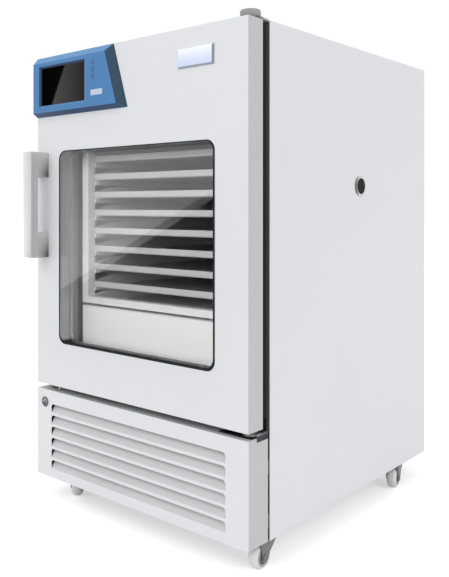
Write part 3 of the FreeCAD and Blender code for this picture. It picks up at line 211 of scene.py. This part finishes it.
def finish(name, colour, metallic=0.0, rough=0.4, grain=(1.0, 1.0, 1.0), size=260.0, depth=0.00003,
           tint=0.03, rough_spread=0.08, specular=0.5, coat=0.0):
    """A surface with grain: small shifts of colour, of gloss and of height, at the real scale."""
    material = bpy.data.materials.new(name)
    material.use_nodes = True
    tree = material.node_tree
    shader = tree.nodes["Principled BSDF"]
    shader.inputs["Metallic"].default_value = metallic
    shader.inputs["Specular IOR Level"].default_value = specular
    shader.inputs["Coat Weight"].default_value = coat
    place = tree.nodes.new("ShaderNodeTexCoord")
    stretch = tree.nodes.new("ShaderNodeMapping")
    stretch.inputs["Scale"].default_value = grain
    fine = tree.nodes.new("ShaderNodeTexNoise")
    fine.inputs["Scale"].default_value = size
    fine.inputs["Detail"].default_value = 3.0
    broad = tree.nodes.new("ShaderNodeTexNoise")
    broad.inputs["Scale"].default_value = 5.0
    broad.inputs["Detail"].default_value = 2.0
    blend = tree.nodes.new("ShaderNodeMath")
    blend.operation = "ADD"
    shades = tree.nodes.new("ShaderNodeMapRange")
    shades.inputs["From Min"].default_value = 0.7
    shades.inputs["From Max"].default_value = 1.3
    paint = tree.nodes.new("ShaderNodeMix")
    paint.data_type = "RGBA"
    paint.inputs["A"].default_value = (*[c * (1 - tint) for c in colour], 1.0)
    paint.inputs["B"].default_value = (*[min(1.0, c * (1 + tint)) for c in colour], 1.0)
    gloss = tree.nodes.new("ShaderNodeMapRange")
    gloss.inputs["To Min"].default_value = max(0.02, rough - rough_spread)
    gloss.inputs["To Max"].default_value = min(1.0, rough + rough_spread)
    bump = tree.nodes.new("ShaderNodeBump")
    bump.inputs["Strength"].default_value = 0.6
    bump.inputs["Distance"].default_value = depth
    link_nodes(tree, [
        (place, "Object", stretch, "Vector"), (stretch, 0, fine, "Vector"),
        (place, "Object", broad, "Vector"), (fine, 0, blend, 0), (broad, 0, blend, 1),
        (blend, 0, shades, "Value"), (shades, 0, paint, "Factor"),
        (paint, "Result", shader, "Base Color"), (fine, 0, gloss, "Value"),
        (gloss, 0, shader, "Roughness"), (fine, 0, bump, "Height"), (bump, 0, shader, "Normal"),
    ])
    return material


def dress(node, material, edge=0.0, segments=2):
    """Gives a node its material, and softens its sharp edges by a real fold or mould radius."""
    part = frame["nodes"][node]
    part.data.materials.clear()
    part.data.materials.append(material)
    if edge:
        weld = part.modifiers.new("joined_points", "WELD")
        weld.merge_threshold = 0.00001
        soft = part.modifiers.new("soft_edge", "BEVEL")
        soft.width = edge
        soft.segments = segments
        soft.limit_method = "ANGLE"
        soft.angle_limit = math.radians(35)
        soft.harden_normals = True
        soft.use_clamp_overlap = True


primed_steel = finish("zinc_primer", (0.36, 0.37, 0.38), metallic=0.6, rough=0.5, size=120, tint=0.12)
dress("base_frame", primed_steel, edge=0.0004)

# Outer shell
# Four folded steel sheets, 1.5 mm thick, with a white powder coat that has a fine orange
# peel. The sides wrap the back sheet, which sits in a shallow recess.
white_coat = finish("white_powder_coat", (0.745, 0.755, 0.775), rough=0.36, size=420, depth=0.00004,
                    tint=0.012)
dress("outer_shell", white_coat, edge=0.0006)

# Foam
# Cut slabs of cream insulation foam between the shell and the liner. It only shows in the
# small bores where the cable port and the suction pipe go through.
foam = finish("cream_foam", (0.80, 0.70, 0.45), rough=0.9, size=700, depth=0.0002, tint=0.10)
dress("insulation", foam)

# Inner liner
# The chamber's own walls: thin stainless sheet, brushed along its length, and the sheet
# under the foam floor that closes the machine space.
brushed_liner = finish("brushed_liner", (0.68, 0.685, 0.69), metallic=0.40, rough=0.42,
                       grain=(3.0, 3.0, 60.0), size=60, depth=0.00003, tint=0.05)
dress("inner_liner", brushed_liner, edge=0.0003)

# Breaker frame
# A plastic frame round the chamber's mouth. Its flat front bars are dark, where the door
# seal lands, and the throat behind them is moulded in a lighter grey.
throat_front = (-0.2799, -0.2795)
throat_grey = (0.80, 0.80, 0.81)


def along(material, axis, starts, full, source="Object"):
    """A share that is nought where a colour starts along an axis, and one where it is full.

    The source is the point itself, or its normal for a colour that follows the way a face
    looks. The two places are often a named pair, the start first.
    """
    tree = material.node_tree
    place = tree.nodes.new("ShaderNodeTexCoord")
    split = tree.nodes.new("ShaderNodeSeparateXYZ")
    step = tree.nodes.new("ShaderNodeMapRange")
    step.inputs["From Min"].default_value = starts
    step.inputs["From Max"].default_value = full
    link_nodes(tree, [(place, source, split, 0), (split, axis, step, "Value")])
    return step


def lay_over(material, share, colour):
    """Lays another colour over a finish where the share is one."""
    tree = material.node_tree
    shader = tree.nodes["Principled BSDF"]
    over = tree.nodes.new("ShaderNodeMix")
    over.data_type = "RGBA"
    over.inputs["B"].default_value = (*colour, 1.0)
    tree.links.new(shader.inputs["Base Color"].links[0].from_socket, over.inputs["A"])
    link_nodes(tree, [(share, 0, over, "Factor"), (over, "Result", shader, "Base Color")])


breaker = finish("breaker_plastic", (0.030, 0.030, 0.032), rough=0.5, size=500, tint=0.1)
lay_over(breaker, along(breaker, "Y", *throat_front), throat_grey)
dress("breaker_frame", breaker, edge=0.0005)

# Compressor
# A deep-drawn steel can on a pressed plate and four rubber grommets, with its pipe to the
# condenser, all in satin black.
compressor_black = finish("compressor_black", (0.012, 0.012, 0.014), rough=0.32, size=300, tint=0.2)
dress("compressor", compressor_black, edge=0.0004)

# Condenser
# Thin aluminium fins pressed on tubes, a shroud behind them and a small fan motor. The fins
# stand upright, 2 mm apart.
fins = finish("pressed_fins", (0.52, 0.53, 0.54), metallic=0.7, rough=0.45,
              grain=(480.0, 2.0, 2.0), size=1.0, depth=0.0009, tint=0.25)
dress("condenser_unit", fins, edge=0.0003)

# Fans
# Moulded black fan wheels, one behind the condenser and one in the air duct, each pressed
# on its motor's shaft. The duct's motor has a grey paint.
fan_plastic = finish("fan_plastic", (0.018, 0.018, 0.02), rough=0.42, size=500, tint=0.15)
dress("condenser_fan", fan_plastic, edge=0.0005)
dress("circulation_fan", fan_plastic, edge=0.0005)
motor_paint = finish("motor_paint", (0.12, 0.125, 0.135), metallic=0.2, size=300, tint=0.1)
dress("circulation_fan_motor", motor_paint, edge=0.0005)

# Circuit board
# A board under a glossy green mask, on four posts in the machine space, with three relays.
board_mask = finish("solder_mask", (0.015, 0.11, 0.045), rough=0.3, size=180, tint=0.3, coat=0.3)
dress("circuit_board", board_mask, edge=0.0003)

# Power inlet
# An appliance inlet moulded in black plastic, with three blades, snapped in the back sheet.
inlet_plastic = finish("inlet_plastic", (0.016, 0.016, 0.018), rough=0.45, size=600, tint=0.15)
dress("power_inlet", inlet_plastic, edge=0.0004)

# Evaporator and air duct
# A finned aluminium block on the chamber's back wall, and before it a brushed sheet cover
# with a round fan mouth above and a row of slots below.
dress("evaporator_coil", fins, edge=0.0003)
dress("duct_cover", brushed_liner, edge=0.0003)

# Agitator drive
# Under the rack: a ground steel floor on feet, two rails, a painted gear motor, its crank
# wheel and the rod that pushes the rack.
ground_steel = finish("ground_steel", (0.42, 0.43, 0.45), metallic=1.0, rough=0.28,
                      grain=(2.0, 60.0, 60.0), size=60, depth=0.00002, tint=0.06)
dress("agitator_base", ground_steel, edge=0.0004)
dress("agitator_motor", motor_paint, edge=0.0006)
dress("crank", ground_steel, edge=0.0004)
dress("connecting_rod", ground_steel, edge=0.0004)

# Agitator cover
# A plain folded box in pale grey paint that hides the drive. Slots in its top let the four
# bearing necks and the drive pin through.
pale_coat = finish("pale_grey_coat", (0.75, 0.745, 0.745), rough=0.5, size=420, depth=0.000003,
                   tint=0.006)
dress("agitator_cover", pale_coat, edge=0.0008)

# Rack
# Square posts and a shallow pan in satin anodised aluminium, with folded runners for the
# trays, on four bearings that slide on the drive's rails.
anodised = finish("satin_anodised", (0.72, 0.72, 0.72), metallic=0.1, rough=0.42,
                  grain=(60.0, 60.0, 3.0), size=12, depth=0.00002, tint=0.03)
dress("rack_frame", anodised, edge=0.0006)

# Trays
# Eight pressed trays, 1.2 mm thick, with a low front lip and sides that climb behind it.
# They are light anodised, with faint drawing marks from front to back.
tray_skin = finish("pressed_tray", (0.47, 0.47, 0.47), metallic=0.1, grain=(60.0, 3.0, 60.0),
                   size=12, depth=0.00002, tint=0.03)
for tray in trays:
    dress(tray, tray_skin, edge=0.0004)

# Door frame and skins
# Light grey moulded bars round the door's edge, white coated sheets in front and behind,
# and cream foam between them.
edge_plastic = finish("edge_plastic", (0.535, 0.535, 0.54), rough=0.45, size=600, depth=0.00004,
                      tint=0.02)
dress("door_edge_frame", edge_plastic, edge=0.0008)
dress("door_face_panel", white_coat, edge=0.0007)
dress("door_inner_panel", white_coat, edge=0.0006)
dress("door_core", foam)

# Window
# Two 4 mm panes with a spacer between them, in a grey aluminium frame whose upward faces
# are painted black, held from the front by a black rubber seal in the door sheet's cut-out.
faces_up = (0.5, 0.8)
upward_faces_black = (0.01, 0.01, 0.01)
frame_metal = finish("window_aluminium", (0.40, 0.40, 0.41), metallic=0.4, grain=(3.0, 3.0, 60.0),
                     size=20, depth=0.00001, tint=0.05)
# The frame's upward-facing faces are painted black.
lay_over(frame_metal, along(frame_metal, "Z", *faces_up, "Normal"), upward_faces_black)
dress("window_frame", frame_metal, edge=0.0003)
seal_rubber = finish("seal_rubber", (0.005, 0.005, 0.006), rough=0.6, size=700, tint=0.2,
                     specular=0.25)
dress("window_seal", seal_rubber, edge=0.0003)
pane_glass = bpy.data.materials.new("pane_glass")
pane_glass.use_nodes = True
pane_tree = pane_glass.node_tree
pane_shader = pane_tree.nodes["Principled BSDF"]
pane_shader.inputs["Base Color"].default_value = (0.985, 0.985, 0.985, 1.0)
pane_shader.inputs["Transmission Weight"].default_value = 1.0
pane_shader.inputs["IOR"].default_value = 1.39
pane_shader.inputs["Roughness"].default_value = 0.0
pane_wipe = pane_tree.nodes.new("ShaderNodeTexNoise")
pane_wipe.inputs["Scale"].default_value = 6.0
pane_wave = pane_tree.nodes.new("ShaderNodeBump")
pane_wave.inputs["Strength"].default_value = 0.05
pane_wave.inputs["Distance"].default_value = 0.00005
pane_path = pane_tree.nodes.new("ShaderNodeLightPath")
pane_clear = pane_tree.nodes.new("ShaderNodeBsdfTransparent")
pane_choice = pane_tree.nodes.new("ShaderNodeMixShader")
link_nodes(pane_tree, [
    (pane_wipe, 0, pane_wave, "Height"), (pane_wave, 0, pane_shader, "Normal"),
    (pane_path, "Is Shadow Ray", pane_choice, 0), (pane_shader, 0, pane_choice, 1),
    (pane_clear, 0, pane_choice, 2),
    (pane_choice, 0, pane_tree.nodes["Material Output"], "Surface"),
])
dress("glass_panes", pane_glass)

# Door seal
# A magnetic gasket in dark grey rubber, pushed in a groove round the door's back.
gasket_rubber = finish("gasket_rubber", (0.030, 0.030, 0.031), rough=0.6, size=500, tint=0.15)
dress("door_gasket", gasket_rubber, edge=0.0005)

# Handle
# A C-shaped pull in satin metal, screwed on from inside the door. Its grip is a little
# rounded to the front, with a painted highlight that pales its front face leftwards, and the
# two feet carry painted shade that darkens downwards on the side that faces right.
grip_depth = 0.016
grip_front = (-0.5, -0.8)
grip_painted_highlight = (0.80, 0.80, 0.80)
foot_side = (0.5, 0.8)
foot_height = 0.059
foot_edge = 0.0005
shade_height = 0.050
foot_painted_shade = (0.04, 0.04, 0.04)


def both(material, first, second):
    """One only where two shares are one."""
    product = material.node_tree.nodes.new("ShaderNodeMath")
    product.operation = "MULTIPLY"
    link_nodes(material.node_tree, [(first, 0, product, 0), (second, 0, product, 1)])
    return product


handle_metal = finish("handle_satin", (0.60, 0.60, 0.60), metallic=0.3, rough=0.30, size=500,
                      depth=0.000004, tint=0.02, rough_spread=0.03)
handle_low, handle_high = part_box("door_handle")
# Painted highlight: the grip's front face pales towards the left.
highlight_leftwards = along(handle_metal, "X", handle_high[0], handle_low[0])
faces_front = along(handle_metal, "Y", *grip_front, "Normal")
lay_over(handle_metal, both(handle_metal, highlight_leftwards, faces_front), grip_painted_highlight)
behind_grip = along(handle_metal, "Y", handle_low[1] + grip_depth, handle_high[1])
faces_right = along(handle_metal, "X", *foot_side, "Normal")
foot_face = both(handle_metal, behind_grip, faces_right)
# Painted shade: each foot's right-facing side darkens downwards.
for top in (handle_high[2], handle_low[2] + foot_height):
    below_top = along(handle_metal, "Z", top + 2 * foot_edge, top)
    painted_shade_down = along(handle_metal, "Z", top, top - shade_height)
    above_end = along(handle_metal, "Z", top - foot_height - foot_edge, top - foot_height)
    foot = both(handle_metal, both(handle_metal, foot_face, below_top),
                both(handle_metal, painted_shade_down, above_end))
    lay_over(handle_metal, foot, foot_painted_shade)
dress("door_handle", handle_metal, edge=0.0012, segments=3)

# Badge plate
# A small blank plate of satin aluminium with a bevelled rim, stuck to the door. A painted
# reflection pales it upwards, and each side of its rim has its own painted shade: pale above
# and to the left, dark below and to the right.
sky_above_foot = 0.008
sky_below_top = 0.004
badge_painted_reflection = (0.86, 0.89, 0.93)
rim_painted_shades = [
    ("Z", -1, (0.30, 0.33, 0.38)), ("X", 1, (0.24, 0.26, 0.27)),
    ("Z", 1, (0.90, 0.91, 0.93)), ("X", -1, (0.90, 0.91, 0.93)),
]
slope_starts = 0.3
slope_full = 0.5


def on_slope(material, axis, way):
    """One on the sloped edge that faces one way along an axis, up to the flat face's edge."""
    return along(material, axis, way * slope_starts, way * slope_full, "Normal")


def shade_slopes(material, shades):
    """Paints light and shade on the sloped edges, each its own colour, from (axis, way along it,
    colour).
    """
    for axis, way, colour in shades:
        lay_over(material, on_slope(material, axis, way), colour)


badge_metal = finish("badge_metal", (0.60, 0.67, 0.86), metallic=0.6, rough=0.30, size=500,
                     depth=0.000003, tint=0.02, rough_spread=0.03)
badge_low, badge_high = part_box("badge_plate")
# Painted reflection: the plate pales upwards.
reflection_rise = along(badge_metal, "Z", badge_low[2] + sky_above_foot, badge_high[2] - sky_below_top)
lay_over(badge_metal, reflection_rise, badge_painted_reflection)
# Painted light and shade on the rim: pale above and to the left, dark below and to the right.
shade_slopes(badge_metal, rim_painted_shades)
dress("badge_plate", badge_metal, edge=0.0003)

# Control panel
# A blue moulded housing with sloped edges on the door's upper left corner, a black touch
# screen set in it, small printed marks and a small pale plate below them. Its sloped edges
# have painted light and shade, lighter above and to the left, darker below and to the right,
# and the right-facing wall at the screen's left side has its own painted shade.
housing_painted_shades = [
    ("Z", 1, (0.095, 0.265, 0.520)), ("X", -1, (0.150, 0.310, 0.540)),
    ("Z", -1, (0.014, 0.052, 0.135)), ("X", 1, (0.015, 0.048, 0.085)),
]
screen_left_wall = (-0.20, -0.21)
screen_wall_painted_shade = (0.018, 0.065, 0.165)
pale_plate_top = (0.9576, 0.9575)
plate_pale_blue = (0.52, 0.60, 0.72)
blue_plastic = finish("blue_plastic", (0.066, 0.210, 0.450), rough=0.42, size=600, tint=0.03,
                      specular=0.3)
# Painted light and shade on the sloped edges, by the way each one faces.
shade_slopes(blue_plastic, housing_painted_shades)
# Painted shade on the right-facing wall at the screen's left side.
lay_over(blue_plastic, both(blue_plastic, on_slope(blue_plastic, "X", 1),
                            along(blue_plastic, "X", *screen_left_wall)), screen_wall_painted_shade)
dress("control_housing", blue_plastic, edge=0.0006)
screen_glass = finish("screen_glass", (0.002, 0.002, 0.002), rough=0.03, size=40, depth=0.000001,
                      tint=0.1, rough_spread=0.01, specular=0.7)
dress("control_screen", screen_glass, edge=0.0003)
mark_plastic = finish("mark_plastic", (0.040, 0.125, 0.300), rough=0.35, size=500, tint=0.05)
lay_over(mark_plastic, along(mark_plastic, "Z", *pale_plate_top), plate_pale_blue)
dress("control_indicators", mark_plastic, edge=0.0002)

# Hinges
# Grey painted plates with fixed pins, screwed on over and under the door, with a rounded cap
# above. The lower bracket is darker, with painted shade on its inner part, a painted black
# shadow underneath, and a light seat in front.
below_middle = (0.6, 0.5)
above_middle = (0.9, 1.0)
bracket_grey = (0.075, 0.075, 0.08)
bracket_inside = (0.317, 0.3165)
inner_painted_shade = (0.022, 0.022, 0.024)
seat_foot = (0.2644, 0.2646)
seat_top = (0.2745, 0.2742)
seat_front = (-0.3065, -0.3075)
seat_grey = (0.25, 0.25, 0.255)
bracket_underside = (0.26305, 0.2630)
underside_painted_shadow = (0.008, 0.008, 0.009)
upper_plate_back = (-0.301, -0.300)
upper_plate_grey = (0.55, 0.55, 0.555)
hinge_paint = finish("hinge_paint", (0.16, 0.16, 0.165), metallic=0.3, rough=0.42, size=300,
                     tint=0.06)
low_hinge = along(hinge_paint, "Z", *below_middle)
high_hinge = along(hinge_paint, "Z", *above_middle)
seat_height = both(hinge_paint, along(hinge_paint, "Z", *seat_foot),
                   along(hinge_paint, "Z", *seat_top))
lay_over(hinge_paint, low_hinge, bracket_grey)
# Painted shade on the lower bracket's inner part.
lay_over(hinge_paint, both(hinge_paint, low_hinge, along(hinge_paint, "X", *bracket_inside)),
         inner_painted_shade)
lay_over(hinge_paint, both(hinge_paint, seat_height, along(hinge_paint, "Y", *seat_front)),
         seat_grey)
# Painted shadow: black under the lower bracket.
lay_over(hinge_paint, along(hinge_paint, "Z", *bracket_underside), underside_painted_shadow)
lay_over(hinge_paint, both(hinge_paint, high_hinge, along(hinge_paint, "Y", *upper_plate_back)),
         upper_plate_grey)
dress("hinge_brackets", hinge_paint, edge=0.0006)
cap_plastic = finish("cap_plastic", (0.30, 0.30, 0.305), size=500, tint=0.05)
dress("hinge_cap", cap_plastic, edge=0.0006)

# Lower panel
# A white coated sheet with six punched slots, on a light grey folded frame, and tilted
# blades of fine grey mesh behind the slots. Inside, the frame's left cheek is painted black
# as shade.
left_third = (-0.1, -0.2)
cheek_inside = (0.5, 0.6)
cheek_painted_shade = (0.012, 0.012, 0.012)
tab_back = (-0.2866, -0.2864)
tab_grey = (0.30, 0.30, 0.30)
wire_pitch = 0.005
wire_lean = 60
wire_grey = (0.57, 0.57, 0.57)
dress("lower_panel_face", white_coat)
panel_coat = finish("panel_grey_coat", (0.535, 0.535, 0.54), rough=0.42, size=420, depth=0.00004,
                    tint=0.015)
# Painted shade: the inner face of the left cheek is black.
lay_over(panel_coat, both(panel_coat, along(panel_coat, "X", *left_third),
                          along(panel_coat, "X", *cheek_inside, "Normal")), cheek_painted_shade)
lay_over(panel_coat, along(panel_coat, "Y", *tab_back), tab_grey)
dress("lower_panel_frame", panel_coat, edge=0.0006)


def slanted_wires(material, pitch, lean):
    """Fine parallel wires that lean one way, as a wave of nought and one."""
    tree = material.node_tree
    place = tree.nodes.new("ShaderNodeTexCoord")
    turn = tree.nodes.new("ShaderNodeMapping")
    turn.inputs["Rotation"].default_value = (0.0, math.radians(lean), 0.0)
    wires = tree.nodes.new("ShaderNodeTexWave")
    wires.wave_type = "BANDS"
    wires.bands_direction = "X"
    wires.inputs["Scale"].default_value = math.pi / 10 / pitch
    link_nodes(tree, [(place, "Object", turn, "Vector"), (turn, 0, wires, "Vector")])
    return wires


mesh_coat = finish("mesh_coat", (0.62, 0.62, 0.62), rough=0.5, size=300, tint=0.05)
lay_over(mesh_coat, slanted_wires(mesh_coat, wire_pitch, wire_lean), wire_grey)
dress("louvre_blades", mesh_coat)

# Lock
# A zinc cam lock in the lower panel. Its core has fine light rays painted in its upper half
# as highlights, and its cam turns up into a black keeper under the door.
ray_count = 7
ray_edge = 0.002
ray_painted_highlight = (0.60, 0.60, 0.61)


def highlight_rays(material, middle, count):
    """One on each of the rays round a middle line along Y, nought between them."""
    tree = material.node_tree
    place = tree.nodes.new("ShaderNodeTexCoord")
    centred = tree.nodes.new("ShaderNodeMapping")
    centred.inputs["Location"].default_value = (-middle[0], 0.0, -middle[2])
    upright = tree.nodes.new("ShaderNodeMapping")
    upright.inputs["Rotation"].default_value = (math.radians(90), 0.0, 0.0)
    around = tree.nodes.new("ShaderNodeTexGradient")
    around.gradient_type = "RADIAL"
    turns = tree.nodes.new("ShaderNodeMath")
    turns.operation = "MULTIPLY"
    turns.inputs[1].default_value = math.tau * count
    wave = tree.nodes.new("ShaderNodeMath")
    wave.operation = "SINE"
    sharp = tree.nodes.new("ShaderNodeMapRange")
    sharp.inputs["From Min"].default_value = 0.2
    sharp.inputs["From Max"].default_value = 0.6
    link_nodes(tree, [
        (place, "Object", centred, "Vector"), (centred, 0, upright, "Vector"),
        (upright, 0, around, "Vector"), (around, "Fac", turns, 0), (turns, 0, wave, 0),
        (wave, 0, sharp, "Value"),
    ])
    return sharp


lock_zinc = finish("lock_zinc", (0.13, 0.13, 0.135), metallic=0.8, rough=0.35,
                   grain=(40.0, 3.0, 40.0), size=20, depth=0.00002, tint=0.08)
dress("lock_barrel", lock_zinc, edge=0.0004)
core_zinc = finish("lock_core", (0.10, 0.10, 0.105), metallic=0.8, rough=0.35,
                   grain=(40.0, 3.0, 40.0), size=20, depth=0.00002, tint=0.08)
lock_place = next(joint["pos_m"] for joint in frame["joints"] if joint["name"] == "lock_turn")
core_upper_half = along(core_zinc, "Z", lock_place[2] - ray_edge, lock_place[2])
core_rays = highlight_rays(core_zinc, lock_place, ray_count)
# Painted highlights: light rays on the core's upper half.
lay_over(core_zinc, both(core_zinc, core_rays, core_upper_half), ray_painted_highlight)
dress("lock_cylinder", core_zinc, edge=0.0003)
keeper_plastic = finish("keeper_plastic", (0.012, 0.012, 0.013), rough=0.45, size=500, tint=0.15)
dress("lock_keeper", keeper_plastic, edge=0.0006)

# Cable port
# A pale plastic sleeve through the right wall, with a cone-shaped ring outside, closed by a
# soft black plug. The cone is shaded on its front half.
ring_front_half = (0.056, 0.044)
on_cone = (0.98, 0.93)
cone_shade = (0.13, 0.13, 0.135)
port_plastic = finish("port_plastic", (0.66, 0.66, 0.67), rough=0.42, size=500, tint=0.03)
lay_over(port_plastic, both(port_plastic, along(port_plastic, "Y", *ring_front_half),
                            along(port_plastic, "X", *on_cone, "Normal")), cone_shade)
dress("port_sleeve", port_plastic, edge=0.0005)
plug_rubber = finish("plug_rubber", (0.010, 0.010, 0.013), rough=0.7, size=400, depth=0.0001,
                     tint=0.2, specular=0.2)
dress("port_plug", plug_rubber, edge=0.001)

# Casters
# Zinc plated swivel forks with riveted axles, and white nylon wheels. Each wheel's sides
# are painted greyer as shade, with a darker ring of painted shade in their round groove.
side_painted_shade = (0.38, 0.38, 0.38)
groove_radius = 0.0150
groove_edge = 0.0005
groove_painted_shade = (0.10, 0.10, 0.10)
rolls = {joint["child"]: joint for joint in frame["joints"] if joint["name"].startswith("roll")}


def wheel_nylon(corner):
    """White nylon for one wheel, with painted shade: a grey disc across its axle, darker in a groove.
    """
    nylon = finish("wheel_nylon_" + corner, (0.74, 0.74, 0.735), rough=0.42, size=320,
                   depth=0.00008, tint=0.04)
    roll = rolls["wheel_" + corner]
    tree = nylon.node_tree
    place = tree.nodes.new("ShaderNodeTexCoord")
    sideways = tree.nodes.new("ShaderNodeVectorMath")
    sideways.operation = "DOT_PRODUCT"
    sideways.inputs[1].default_value = roll["axis"]
    either_side = tree.nodes.new("ShaderNodeMath")
    either_side.operation = "ABSOLUTE"
    disc = tree.nodes.new("ShaderNodeMapRange")
    disc.inputs["From Min"].default_value = 0.90
    disc.inputs["From Max"].default_value = 0.99
    from_axle = tree.nodes.new("ShaderNodeVectorMath")
    from_axle.operation = "SUBTRACT"
    from_axle.inputs[1].default_value = roll["pos_m"]
    across = tree.nodes.new("ShaderNodeVectorMath")
    across.operation = "CROSS_PRODUCT"
    across.inputs[1].default_value = roll["axis"]
    reach = tree.nodes.new("ShaderNodeVectorMath")
    reach.operation = "LENGTH"
    groove = tree.nodes.new("ShaderNodeMapRange")
    groove.inputs["From Min"].default_value = groove_radius + groove_edge
    groove.inputs["From Max"].default_value = groove_radius
    link_nodes(tree, [
        (place, "Normal", sideways, 0), (sideways, "Value", either_side, 0),
        (either_side, 0, disc, "Value"),
        (place, "Object", from_axle, 0), (from_axle, 0, across, 0),
        (across, 0, reach, 0), (reach, "Value", groove, "Value"),
    ])
    # Painted shade on the wheel's sides, darker again in the ring of the groove.
    lay_over(nylon, disc, side_painted_shade)
    lay_over(nylon, both(nylon, disc, groove), groove_painted_shade)
    return nylon


fork_zinc = finish("fork_zinc", (0.17, 0.17, 0.175), metallic=0.6, rough=0.45, tint=0.12)
for row in ("front", "rear"):
    for side in ("left", "right"):
        corner = row + "_" + side
        dress("caster_fork_" + corner, fork_zinc, edge=0.0004)
        dress("caster_wheel_" + corner, wheel_nylon(corner))

# Screws
# Round-headed zinc plated screws, driven through the back sheet's upright edges into the
# folds of the two sides.
dress("screws", lock_zinc, edge=0.0004)
